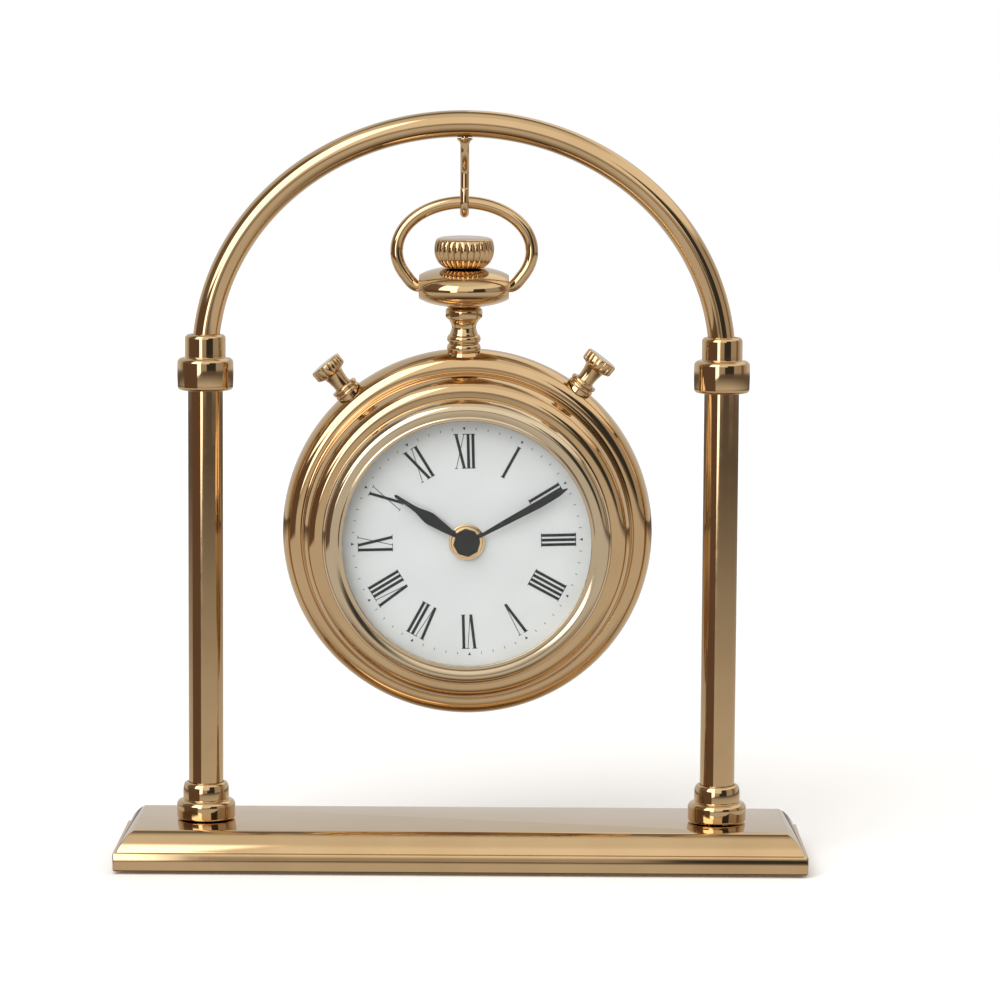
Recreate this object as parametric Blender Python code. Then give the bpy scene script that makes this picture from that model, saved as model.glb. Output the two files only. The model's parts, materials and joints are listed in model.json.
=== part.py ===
"""Watch-and-arch table clock: a quartz clock shaped like a stopwatch, hung in a brass arch.

World frame: +X right, +Y away from the dial's front, +Z up, metres.
The origin is the middle of the felt under the base, on the table.
The watch is built in two frames of its own, both held by empties:
  WATCH  origin on the bow's pivot axis, z up along the neck;
  FACE   origin on the case's axis in its widest plane, z out of the dial, y towards twelve.
"""

import math

import bmesh
import bpy

MM = 0.001
GAP = 0.3  # mm left between pieces that touch

# ---------------------------------------------------------------- driving dimensions, mm
FELT_THICK = 1.0
BASE_WIDTH = 254.0
BASE_DEPTH = 64.7
BASE_HEIGHT = 14.2
BASE_EDGE_HEIGHT = 6.9
BASE_TOP_INSET = 7.7

POST_HALF_SPACING = 95.0
POST_RADIUS = 6.4
POST_WALL = 1.2
FLANGE_RADIUS = 10.8
FLANGE_STEP_RADIUS = 8.5
FLANGE_STEP_TOP = 21.4
FLANGE_TOP = 28.0
COLLAR_BOTTOM = 174.0
COLLAR_STEP = 186.0
COLLAR_TOP = 194.5
COLLAR_RADIUS = 10.3
COLLAR_STEP_RADIUS = 7.5

ARCH_HALF_WIDTH = 95.1
ARCH_RISE = 86.6
ARCH_SPRING = 185.5
ARCH_ROD_RADIUS = 4.9

HOOK_WIRE = 1.6
HOOK_BEND = 4.3
HOOK_BEND_CENTRE = 243.7
HOOK_TIP = 248.9

BOW_WIRE = 2.3
BOW_HALF_WIDTH = 24.8
BOW_HALF_HEIGHT = 17.8
BOW_CENTRE = 225.6
BOW_PIN = 2.0
PIVOT_HEIGHT = 212.5
PENDANT_FLAT = 16.5

WATCH_TILT = 3.5  # degrees the dial leans down
CASE_DROP = 91.8
CASE_SHIFT = 1.6  # the case sits this far to the right of its neck
CASE_TURN = 1.5  # and is screwed on turned this many degrees anticlockwise
NECK_SET_FORWARD = 3.2
CASE_RADIUS = 68.5
CASE_BACK = -7.6
LOWER_RING_TOP = 9.3
UPPER_RING_RADIUS = 60.7
UPPER_RING_TOP = 20.4
CASE_WALL = 1.3
BACK_OPENING = 32.0
SCREW_CIRCLE = 60.4
DIAL_RADIUS = 50.0
DIAL_FRONT = 21.2
DIAL_THICK = 0.5
GLASS_RADIUS = 47.7

PUSHER_ANGLE = 38.5
MINUTE_ANGLE = 62.3
HOUR_ANGLE = 305.0
MINUTE_LENGTH = 42.0
HOUR_LENGTH = 31.7

MOVEMENT_HALF = 28.0
MOVEMENT_FRONT = 18.6
MOVEMENT_BACK = 3.6

TRAIN_SPACING = 12.4  # centre to motion wheel, and motion wheel to setting pinion
MINUTE_PINION = 3.03
MOTION_WHEEL = 9.07
MOTION_PINION = 2.42
HOUR_WHEEL = 9.68
CENTRE_WHEEL = 8.0
THIRD_PINION = 1.0
THIRD_WHEEL = 6.0

# Sides of a turned piece, by its size
BIG_ROUND = 32
MID_ROUND = 18
SMALL_ROUND = 14
TINY_ROUND = 8

BASE_BOTTOM = FELT_THICK
BASE_TOP = BASE_BOTTOM + BASE_HEIGHT


# ---------------------------------------------------------------- scene and materials
def clear_scene():
    for obj in list(bpy.data.objects):
        bpy.data.objects.remove(obj, do_unlink=True)


def finish(name, colour, roughness, metallic):
    mat = bpy.data.materials.new(name)
    mat.use_nodes = True
    shader = mat.node_tree.nodes["Principled BSDF"]
    shader.inputs["Base Color"].default_value = (*colour, 1.0)
    shader.inputs["Roughness"].default_value = roughness
    shader.inputs["Metallic"].default_value = metallic
    mat.diffuse_color = (*colour, 1.0)
    return mat


def make_finishes():
    return {
        "brass": finish("polished_brass", (0.62, 0.40, 0.17), 0.12, 1.0),
        "pale": finish("champagne_brass", (0.72, 0.60, 0.42), 0.12, 1.0),
        "steel": finish("bright_steel", (0.55, 0.55, 0.56), 0.30, 1.0),
        "copper": finish("copper_wire", (0.72, 0.31, 0.16), 0.35, 1.0),
        "dial": finish("white_dial", (0.84, 0.85, 0.86), 0.45, 0.0),
        "black": finish("black_paint", (0.02, 0.02, 0.02), 0.45, 0.0),
        "plastic": finish("black_plastic", (0.03, 0.03, 0.03), 0.55, 0.0),
        "nylon": finish("white_nylon", (0.75, 0.74, 0.70), 0.50, 0.0),
        "green": finish("board_green", (0.03, 0.18, 0.07), 0.40, 0.0),
        "rubber": finish("black_rubber", (0.02, 0.02, 0.02), 0.80, 0.0),
        "felt": finish("green_felt", (0.02, 0.07, 0.04), 0.95, 0.0),
        "glass": finish("clear_glass", (0.90, 0.93, 0.93), 0.02, 0.0),
        "battery": finish("battery_sleeve", (0.10, 0.12, 0.16), 0.35, 0.0),
    }


# ---------------------------------------------------------------- frames
def make_frame(name, location, rotation_deg, parent=None):
    empty = bpy.data.objects.new(name, None)
    empty.empty_display_size = 10 * MM
    bpy.context.collection.objects.link(empty)
    empty.parent = parent
    empty.location = [v * MM for v in location]
    empty.rotation_euler = [math.radians(a) for a in rotation_deg]
    return empty


# ---------------------------------------------------------------- outlines, in mm
def polar(angle_deg, distance):
    turn = math.radians(angle_deg)
    return distance * math.cos(turn), distance * math.sin(turn)


def curve_between(start, corner, end, steps, power=2.0):
    """A rounded quarter from start to end that bulges towards corner."""
    (x0, y0), (x1, y1), (x2, y2) = start, corner, end
    points = []
    for i in range(steps + 1):
        turn = i / steps * math.pi / 2
        along = math.sin(turn) ** (2 / power)
        left = math.cos(turn) ** (2 / power)
        x = x1 + (x0 - x1) * (1 - along) + (x2 - x1) * (1 - left)
        y = y1 + (y0 - y1) * (1 - along) + (y2 - y1) * (1 - left)
        points.append((x, y))
    return points


def rounded_rectangle(x0, x1, y0, y1, radius, steps=3):
    centres = [(x1 - radius, y1 - radius, 0), (x0 + radius, y1 - radius, 90),
               (x0 + radius, y0 + radius, 180), (x1 - radius, y0 + radius, 270)]
    points = []
    for cx, cy, first in centres:
        for i in range(steps + 1):
            turn = math.radians(first + 90 * i / steps)
            points.append((cx + radius * math.cos(turn), cy + radius * math.sin(turn)))
    return points


def bead(low, high, inner, outer, steps=4):
    """Half-round moulding on a turned outline, from low to high."""
    middle, half = (low + high) / 2, (high - low) / 2
    points = []
    for i in range(steps + 1):
        turn = math.pi * i / steps
        points.append((inner + (outer - inner) * math.sin(turn), middle - half * math.cos(turn)))
    return points


# ---------------------------------------------------------------- solids
def new_object(name, mesh, mat, parent=None, location=(0, 0, 0), rotation_deg=(0, 0, 0)):
    obj = bpy.data.objects.new(name, mesh)
    bpy.context.collection.objects.link(obj)
    if mat:
        mesh.materials.append(mat)
    obj.parent = parent
    obj.location = [v * MM for v in location]
    obj.rotation_euler = [math.radians(a) for a in rotation_deg]
    return obj


def close_mesh(name, bm, smooth_deg=35):
    bmesh.ops.remove_doubles(bm, verts=bm.verts, dist=1e-7)
    bmesh.ops.recalc_face_normals(bm, faces=bm.faces)
    mesh = bpy.data.meshes.new(name)
    bm.to_mesh(mesh)
    bm.free()
    mesh.shade_smooth()
    mesh.set_sharp_from_angle(angle=math.radians(smooth_deg))
    return mesh


def turned_mesh(name, outline, segments):
    """Outline of (radius, height) points, turned about z. It closes on itself or on the axis."""
    bm = bmesh.new()
    verts = [bm.verts.new((r * MM, 0, z * MM)) for r, z in outline]
    pairs = list(zip(verts, verts[1:]))
    if outline[0][0] > 0 or outline[-1][0] > 0:
        pairs.append((verts[-1], verts[0]))
    edges = [bm.edges.new(pair) for pair in pairs]
    bmesh.ops.spin(bm, geom=verts + edges, cent=(0, 0, 0), axis=(0, 0, 1),
                   angle=2 * math.pi, steps=segments, use_merge=True)
    return close_mesh(name, bm)


def turned(name, outline, segments, mat, **place):
    return new_object(name, turned_mesh(name, outline, segments), mat, **place)


def ring(name, inner, outer, low, high, segments, mat, **place):
    outline = [(inner, low), (outer, low), (outer, high), (inner, high)]
    return turned(name, outline, segments, mat, **place)


def disc(name, radius, low, high, segments, mat, **place):
    return turned(name, [(0, low), (radius, low), (radius, high), (0, high)], segments, mat, **place)


def lofted(name, levels, mat, **place):
    """Closed solid through outlines of equal point count, each (outline, height)."""
    bm = bmesh.new()
    rows = [[bm.verts.new((x * MM, y * MM, z * MM)) for x, y in outline] for outline, z in levels]
    for lower, upper in zip(rows, rows[1:]):
        for i in range(len(lower)):
            j = (i + 1) % len(lower)
            bm.faces.new((lower[i], lower[j], upper[j], upper[i]))
    bm.faces.new(rows[0])
    bm.faces.new(rows[-1])
    return new_object(name, close_mesh(name, bm), mat, **place)


def slab(name, outline, low, high, mat, **place):
    return lofted(name, [(outline, low), (outline, high)], mat, **place)


def toothed(radius, teeth, depth):
    points = []
    for i in range(2 * teeth):
        turn = math.pi * i / teeth
        size = radius if i % 2 == 0 else radius - depth
        points.append((size * math.cos(turn), size * math.sin(turn)))
    return points


def rod(name, path, radii, sides, mat, **place):
    """Round rod along a path of (x, y, z), with its own radius at each point and closed ends."""
    curve = bpy.data.curves.new(name, "CURVE")
    curve.dimensions = "3D"
    curve.bevel_depth = MM
    curve.bevel_resolution = sides // 2 - 2
    curve.use_fill_caps = True
    spline = curve.splines.new("POLY")
    spline.points.add(len(path) - 1)
    for point, place_at, radius in zip(spline.points, path, radii):
        point.co = (*[v * MM for v in place_at], 1)
        point.radius = radius
    guide = bpy.data.objects.new(name + "_guide", curve)
    bpy.context.collection.objects.link(guide)
    bpy.context.view_layer.update()
    graph = bpy.context.evaluated_depsgraph_get()
    swept = bpy.data.meshes.new_from_object(guide.evaluated_get(graph))
    bm = bmesh.new()
    bm.from_mesh(swept)
    bpy.data.objects.remove(guide, do_unlink=True)
    bpy.data.meshes.remove(swept)
    bpy.data.curves.remove(curve)
    return new_object(name, close_mesh(name, bm), mat, **place)


# ---------------------------------------------------------------- cutting
def as_cutter(obj):
    obj.hide_render = True
    obj.display_type = "WIRE"
    return obj


def cut(obj, cutter):
    modifier = obj.modifiers.new("cut_" + cutter.name, "BOOLEAN")
    modifier.operation = "DIFFERENCE"
    modifier.solver = "EXACT"
    modifier.object = as_cutter(cutter)


def trim_sides(mesh, half_width):
    """Cuts a mesh square at x = -half_width and x = +half_width, and closes it."""
    bm = bmesh.new()
    bm.from_mesh(mesh)
    for side in (-1, 1):
        geom = list(bm.verts) + list(bm.edges) + list(bm.faces)
        place = (side * half_width * MM, 0, 0)
        found = bmesh.ops.bisect_plane(bm, geom=geom, dist=1e-7, plane_co=place, plane_no=(side, 0, 0),
                                       clear_outer=True)
        rim = [e for e in found["geom_cut"] if isinstance(e, bmesh.types.BMEdge)]
        bmesh.ops.contextual_create(bm, geom=rim)
    bmesh.ops.recalc_face_normals(bm, faces=bm.faces)
    bm.to_mesh(mesh)
    bm.free()
    mesh.set_sharp_from_angle(angle=math.radians(35))


# ---------------------------------------------------------------- stand
def rectangle_inset(inset):
    x, y = BASE_WIDTH / 2 - inset, BASE_DEPTH / 2 - inset
    return [(x, y), (-x, y), (-x, -y), (x, -y)]


def build_base(mats):
    edge_lean = 1.2
    slope = curve_between((edge_lean, BASE_EDGE_HEIGHT), (edge_lean + 2.2, BASE_HEIGHT),
                          (BASE_TOP_INSET, BASE_HEIGHT), 5, 1.6)
    levels = [(0.6, 0.0), (0.0, 0.6)] + slope
    base = lofted("base_plate", [(rectangle_inset(i), BASE_BOTTOM + z) for i, z in levels], mats["brass"])
    felt = rounded_rectangle(-121, 121, -26, 26, 3)
    slab("base_felt", felt, 0, FELT_THICK - GAP, mats["felt"])
    for side, x in SIDES:
        bore = [(0, -1), (5.4, -1), (5.4, 5.5), (2.75, 5.5), (2.75, BASE_HEIGHT + 1), (0, BASE_HEIGHT + 1)]
        cut(base, turned(side + "_bolt_bore", bore, SMALL_ROUND, None, location=(x, 0, BASE_BOTTOM)))


def build_post(side, x, mats):
    top = COLLAR_BOTTOM + 9.5
    at = dict(location=(x, 0, BASE_BOTTOM))
    foot = BASE_HEIGHT + GAP
    ring(side + "_post_tube", POST_RADIUS - POST_WALL, POST_RADIUS, foot, top, MID_ROUND, mats["brass"], **at)

    bore = POST_RADIUS + 0.25
    flange = [(bore, foot), (FLANGE_RADIUS - 0.7, foot), (FLANGE_RADIUS, foot + 0.8)]
    flange += curve_between((FLANGE_RADIUS, FLANGE_STEP_TOP - 2.2), (FLANGE_RADIUS, FLANGE_STEP_TOP),
                            (FLANGE_STEP_RADIUS + 0.5, FLANGE_STEP_TOP), 3)
    flange += curve_between((FLANGE_STEP_RADIUS, FLANGE_STEP_TOP + 0.4), (FLANGE_STEP_RADIUS, FLANGE_TOP),
                            (bore, FLANGE_TOP), 3, 3.5)
    turned(side + "_foot_flange", flange, MID_ROUND, mats["brass"], **at)

    plug_radius = POST_RADIUS - POST_WALL - 0.2
    ring(side + "_post_plug", 2.4, plug_radius, foot + 0.2, foot + 16, SMALL_ROUND, mats["brass"], **at)
    bolt = [(0, 0.6), (4.6, 0.6), (4.6, 5.2), (2.2, 5.2), (2.2, foot + 13), (0, foot + 13)]
    turned(side + "_post_bolt", bolt, SMALL_ROUND, mats["steel"], **at)

    shoulder = top + GAP
    arch_bore = ARCH_ROD_RADIUS + 0.75
    collar = [(bore, COLLAR_BOTTOM), (COLLAR_RADIUS - 1.0, COLLAR_BOTTOM)]
    collar += curve_between((COLLAR_RADIUS - 0.2, COLLAR_BOTTOM + 1.0), (COLLAR_RADIUS + 0.15, 180),
                            (COLLAR_RADIUS, COLLAR_STEP - 2.2), 2)
    collar += curve_between((COLLAR_RADIUS - 0.1, COLLAR_STEP - 1.8), (COLLAR_RADIUS - 0.2, COLLAR_STEP),
                            (COLLAR_STEP_RADIUS + 0.6, COLLAR_STEP), 2)
    collar += [(COLLAR_STEP_RADIUS, COLLAR_STEP + 0.5)]
    collar += curve_between((COLLAR_STEP_RADIUS, COLLAR_TOP - 1.8), (COLLAR_STEP_RADIUS, COLLAR_TOP),
                            (arch_bore + 0.3, COLLAR_TOP), 2)
    collar += [(arch_bore, COLLAR_TOP - 0.3), (arch_bore, shoulder), (bore, shoulder)]
    turned(side + "_arch_collar", collar, MID_ROUND, mats["brass"], **at)


def arch_point(turn):
    x = ARCH_HALF_WIDTH * math.cos(turn)
    z = ARCH_SPRING + ARCH_RISE * math.sin(turn)
    return (x, 0, BASE_BOTTOM + z)


def build_arch(mats):
    steps = 28
    path = [arch_point(math.pi * i / steps) for i in range(steps + 1)]
    foot = BASE_BOTTOM + COLLAR_BOTTOM + 9.5 + 2 * GAP
    path = [(ARCH_HALF_WIDTH, 0, foot)] + path + [(-ARCH_HALF_WIDTH, 0, foot)]
    arch = rod("arch_rod", path, [ARCH_ROD_RADIUS] * len(path), 10, mats["brass"])
    crown = BASE_BOTTOM + ARCH_SPRING + ARCH_RISE
    cut(arch, disc("hook_bore", 1.5, crown - 7, crown + 1.5, TINY_ROUND, None))


def build_hook(mats):
    underside = ARCH_SPRING + ARCH_RISE - ARCH_ROD_RADIUS
    drops = [5.5, -0.25, -0.35, -1.2, -2.6]
    path = [(0, underside + drop) for drop in drops]
    radii = [1.2, 1.2, 2.9, 2.3, HOOK_WIRE]
    for i in range(5):
        share = i / 4
        sway = HOOK_BEND * (0.5 - 0.5 * math.cos(math.pi * share))
        path.append((sway, underside - 5.0 - share * 8.5))
        radii.append(HOOK_WIRE)
    for i in range(9):
        turn = math.pi * i / 8
        path.append((HOOK_BEND * math.cos(turn), HOOK_BEND_CENTRE - HOOK_BEND * math.sin(turn)))
        radii.append(HOOK_WIRE)
    path += [(-HOOK_BEND, HOOK_TIP - 0.5), (-HOOK_BEND, HOOK_TIP)]
    radii += [HOOK_WIRE, HOOK_WIRE - 0.4]
    rod("hanging_hook", [(0, y, BASE_BOTTOM + z) for y, z in path], radii, 8, mats["brass"])


# ---------------------------------------------------------------- bow, pendant, crown
def build_bow(mats):
    lowest = math.radians(32)
    steps = 24
    arc = []
    for i in range(steps + 1):
        turn = -lowest + (math.pi + 2 * lowest) * i / steps
        arc.append((BOW_HALF_WIDTH * math.cos(turn), 0, BOW_CENTRE + BOW_HALF_HEIGHT * math.sin(turn)))
    pin = [(-3.0, 0, BOW_PIN), (0.45, 0, BOW_PIN), (1.45, 0.3, BOW_WIRE - 0.15), (2.4, 1.0, BOW_WIRE),
           (3.4, 2.1, BOW_WIRE)]
    right = [(PENDANT_FLAT + out, 0, PIVOT_HEIGHT + up) for out, up, _ in pin]
    left = [(-x, 0, z) for x, _, z in reversed(right)]
    end_radii = [r for _, _, r in pin]
    radii = end_radii + [BOW_WIRE] * len(arc) + end_radii[::-1]
    path = [(x, y, z - PIVOT_HEIGHT) for x, y, z in right + arc + left]
    rod("bow_ring", path, radii, 8, mats["brass"], location=(0, 0, BASE_BOTTOM + PIVOT_HEIGHT))


def build_pendant(watch, mats):
    wide, tall = 19.5, 7.3
    stem_bore, tenon_bore = 2.7, 2.6
    outline = [(0, -3.4), (tenon_bore, -3.4)]
    steps = 8
    bulge = []
    for i in range(steps + 1):
        turn = math.radians(-74 + 148 * i / steps)
        r = wide * math.cos(turn) ** (2 / 2.2)
        z = math.copysign(tall * abs(math.sin(turn)) ** (2 / 2.2), turn)
        bulge.append((r, z))
    outline += [(tenon_bore, bulge[0][1])] + bulge
    outline += [(stem_bore, bulge[-1][1]), (stem_bore, 3.0), (0, 3.0)]
    mesh = turned_mesh("pendant", outline, 24)
    trim_sides(mesh, PENDANT_FLAT)
    pendant = new_object("pendant", mesh, mats["brass"], parent=watch)
    for side, sign in (("left", -1), ("right", 1)):
        hole = disc(side + "_pin_bore", BOW_PIN + 0.2, -3.4, 3, TINY_ROUND, None, parent=watch,
                    location=(sign * PENDANT_FLAT, 0, 0), rotation_deg=(0, 90 * sign, 0))
        cut(pendant, hole)


def build_crown(watch, mats):
    flutes = 16
    low, high = 7.35, 17.9
    levels = [(7.6, low, 0.0), (8.3, low + 0.5, 0.25), (9.6, low + 1.7, 0.5), (10.6, low + 3.6, 0.6),
              (11.0, low + 6.0, 0.6), (10.9, low + 8.0, 0.5), (10.4, high - 0.8, 0.25), (9.7, high, 0.0)]
    rows = []
    for radius, z, flute in levels:
        rows.append((toothed(radius, flutes, flute), z))
    stem = toothed(2.4, flutes, 0)
    rows = [(stem, 3.4), (stem, low)] + rows
    lofted("crown_knob", rows, mats["brass"], parent=watch)


def case_outer(offset=0.0):
    """The case's outside from its back rim to its front lip, (radius, height), grown by offset."""
    wide, upper = CASE_RADIUS + offset, UPPER_RING_RADIUS + offset
    back = curve_between((65.3, CASE_BACK - offset), (wide, CASE_BACK - offset), (wide, 0), 2)
    first = curve_between((wide, 0), (wide, LOWER_RING_TOP + offset), (61.8, LOWER_RING_TOP + offset), 4, 2.3)
    second = curve_between((upper, LOWER_RING_TOP), (upper, UPPER_RING_TOP), (54.9, UPPER_RING_TOP), 4, 2.2)
    return back, first, second


def case_cutter(name, face):
    back, first, _ = case_outer(GAP)
    outline = [(0, back[0][1])] + back + first[1:] + [(0, first[-1][1])]
    return turned(name, outline, BIG_ROUND, None, parent=face)


def build_neck(watch, face, mats):
    outline = [(0, -4.0), (2.4, -4.0), (2.4, -7.4), (5.4, -7.4), (6.8, -8.3), (6.8, -11.2)]
    outline += [(5.6, -12.2), (4.7, -13.5), (4.4, -14.9), (4.7, -16.4), (5.4, -17.5)]
    outline += [(r, z) for r, z in reversed(bead(-20.6, -17.7, 5.3, 6.2, 3))]
    outline += [(r, z) for r, z in reversed(bead(-24.0, -20.9, 5.3, 6.2, 3))]
    outline += [(6.0, -25.4), (0, -25.4)]
    neck = turned("pendant_neck", outline, SMALL_ROUND, mats["brass"], parent=watch)
    cut(neck, case_cutter("neck_saddle", face))


# ---------------------------------------------------------------- watch case
def screw_places():
    return [(*polar(90 + 120 * i, SCREW_CIRCLE), 0) for i in range(3)]


def build_case(face, mats):
    back, first, second = case_outer()
    outline = back + first[1:] + [(61.1, 8.9)] + second
    lip_under = UPPER_RING_TOP - CASE_WALL
    outline += [(44.0, UPPER_RING_TOP), (44.0, lip_under), (54.3, lip_under), (58.7, 16.6), (59.4, 8.0)]
    outline += [(63.0, 7.6), (66.4, 4.6), (67.2, 0), (64.9, -4.7)]
    seat = CASE_BACK + 1.6
    outline += [(57.5, -4.7), (57.5, seat), (63.6, seat), (63.6, CASE_BACK)]
    case = turned("case_shell", outline, BIG_ROUND, mats["brass"], parent=face)
    for i, place in enumerate(screw_places()):
        at = dict(parent=face, location=place)
        cut(case, disc("case_screw_bore_%d" % (i + 1), 1.3, -8, -3, TINY_ROUND, None, **at))


def build_back(face, mats):
    outline = [(BACK_OPENING, -6.3), (63.2, -6.3), (63.2, -7.1), (62.8, -7.5), (56.0, -7.5), (54.6, -8.1),
               (BACK_OPENING + 1.2, -8.1), (BACK_OPENING, -7.6)]
    cover = turned("back_cover", outline, BIG_ROUND, mats["brass"], parent=face)
    screw = [(0, -8.9), (1.7, -8.8), (2.3, -8.2), (2.3, -7.8), (1.05, -7.8), (1.05, -4.0), (0, -4.0)]
    for i, place in enumerate(screw_places()):
        at = dict(parent=face, location=place)
        cut(cover, disc("cover_screw_bore_%d" % (i + 1), 1.3, -9, -5, TINY_ROUND, None, **at))
        turned("back_cover_screw_%d" % (i + 1), screw, TINY_ROUND, mats["steel"], **at)


def build_bezel(face, mats):
    outline = [(51.8, 20.7), (52.9, 20.7), (53.2, 21.0)]
    outline += curve_between((53.2, 22.3), (53.2, 28.1), (49.4, 28.1), 4, 2.0)
    outline += [(47.0, 27.7), (46.6, 27.9), (45.5, 27.9), (45.5, 27.4), (47.9, 27.4), (47.9, 21.5)]
    outline += [(49.3, 21.5), (49.3, 26.7), (50.8, 26.0), (51.8, 23.0)]
    turned("bezel_ring", outline, BIG_ROUND, mats["pale"], parent=face)
    crown = [(0, 25.6), (GLASS_RADIUS, 25.6), (GLASS_RADIUS, 26.8), (45.5, 27.1), (0, 27.3)]
    turned("glass_lens", crown, BIG_ROUND, mats["glass"], parent=face)
    ring("glass_spacer", 46.2, 47.6, DIAL_FRONT + GAP, 25.3, BIG_ROUND, mats["pale"], parent=face)
    dial_back = DIAL_FRONT - DIAL_THICK
    ring("dial_plate", 4.3, DIAL_RADIUS, dial_back, DIAL_FRONT, BIG_ROUND, mats["dial"], parent=face)


# ---------------------------------------------------------------- pushers
def build_pusher(side, angle, face, mats):
    """A sprung button: hollow cap and stem sliding in a ringed collar screwed to the case."""
    frame = make_frame(side + "_pusher_axis", (0, 0, NECK_SET_FORWARD), (-90, 0, -angle), face)
    collar = [(0, 64.5), (4.5, 64.5)] + bead(68.4, 69.8, 4.5, 5.0, 2) + bead(69.9, 71.6, 4.5, 5.1, 2)
    collar += [(3.45, 71.6), (3.45, 68.6), (0, 68.6)]
    seat = turned(side + "_pusher_collar", collar, SMALL_ROUND, mats["brass"], parent=frame)
    cut(seat, case_cutter(side + "_collar_saddle", face))

    knurls = 14
    levels = []
    stem, neck, head = 3.2, 3.8, 6.2
    profile = [(stem, 70.6, 0), (stem, 73.6, 0), (neck, 77.2, 0), (head - 0.5, 78.1, 0), (head, 78.7, 0.35),
               (head, 81.8, 0.35), (head - 0.4, 82.3, 0)]
    for radius, z, groove in profile:
        levels.append((toothed(radius, knurls, groove), z))
    cap = lofted(side + "_pusher_button", levels, mats["brass"], parent=frame)
    cut(cap, disc(side + "_spring_bore", 2.5, 69, 79.5, TINY_ROUND, None, parent=frame))

    turns, per_turn, low, high = 4, 6, 69.2, 79.1
    count = turns * per_turn
    path = []
    for i in range(count + 1):
        turn = 2 * math.pi * i / per_turn
        path.append((1.8 * math.cos(turn), 1.8 * math.sin(turn), low + (high - low) * i / count))
    rod(side + "_pusher_spring", path, [0.3] * len(path), 4, mats["steel"], parent=frame)


# ---------------------------------------------------------------- hands
def hand_outline(hub, stations):
    """Round hub and a blade along +y, from (distance, half width) stations."""
    first = math.acos(stations[0][1] / hub)
    steps = 10
    sweep = math.pi + 2 * first
    points = []
    for i in range(steps + 1):
        turn = first - sweep * i / steps
        points.append((hub * math.cos(turn), hub * math.sin(turn)))
    left = [(-half, y) for y, half in stations[1:]]
    right = [(half, y) for y, half in reversed(stations[1:])]
    return points + left + right


def hand(name, hub, hole, stations, low, high, mat, angle, face):
    obj = slab(name, hand_outline(hub, stations), low, high, mat, parent=face, rotation_deg=(0, 0, -angle))
    cut(obj, disc(name + "_bore", hole, low - 1, high + 1, SMALL_ROUND, None, parent=face))
    return obj


def build_hands(face, mats):
    minute = [(0, 0.55), (30.0, 1.45), (38.5, 1.05), (MINUTE_LENGTH, 0.2)]
    hour = [(0, 0.6), (16.2, 2.35), (24.5, 0.85), (HOUR_LENGTH - 0.6, 0.6), (HOUR_LENGTH, 0.2)]
    hand("hour_hand", 4.4, 2.45, hour, 23.5, 23.9, mats["black"], HOUR_ANGLE, face)
    hand("minute_hand", 4.4, 1.35, minute, 24.25, 24.65, mats["black"], MINUTE_ANGLE, face)
    cap = [(0, 25.0), (0, 25.4), (4.3, 25.35), (5.0, 25.0)]
    turned("hand_cap", cap, MID_ROUND, mats["black"], parent=face)
    nut = [(4.15, 21.5), (6.6, 21.5), (6.6, 22.4), (6.0, 23.0), (4.15, 23.0)]
    turned("centre_nut", nut, MID_ROUND, mats["brass"], parent=face)


# ---------------------------------------------------------------- quartz movement
def build_housing(face, mats):
    outer = rounded_rectangle(-MOVEMENT_HALF, MOVEMENT_HALF, -MOVEMENT_HALF, MOVEMENT_HALF, 4)
    inner_half = MOVEMENT_HALF - 1.3
    inner = rounded_rectangle(-inner_half, inner_half, -inner_half, inner_half, 2.7)
    floor = MOVEMENT_FRONT - 1.3
    levels = [(inner, floor), (inner, MOVEMENT_BACK), (outer, MOVEMENT_BACK), (outer, MOVEMENT_FRONT)]
    housing = lofted("movement_housing", levels, mats["plastic"], parent=face)
    cut(housing, disc("bush_bore", 4.1, floor - 1, MOVEMENT_FRONT + 1, SMALL_ROUND, None, parent=face))
    bush = [(2.5, 15.9), (6.2, 15.9), (6.2, 17.0), (3.85, 17.0), (3.85, 23.2), (2.5, 23.2)]
    turned("centre_bush", bush, SMALL_ROUND, mats["brass"], parent=face)
    washer_top = DIAL_FRONT - DIAL_THICK - GAP
    ring("dial_washer", 4.2, 9.5, MOVEMENT_FRONT + GAP, washer_top, SMALL_ROUND, mats["rubber"], parent=face)

    cover = rounded_rectangle(-MOVEMENT_HALF, MOVEMENT_HALF, -9.4, MOVEMENT_HALF, 3)
    lid_back = MOVEMENT_BACK - 1.6
    lid = slab("movement_cover", cover, lid_back, MOVEMENT_BACK - GAP, mats["plastic"], parent=face)
    x, y = setting_centre()
    cut(lid, disc("knob_shaft_bore", 1.75, 0, MOVEMENT_BACK + 1, SMALL_ROUND, None, parent=face,
                  location=(x, y, 0)))


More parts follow.
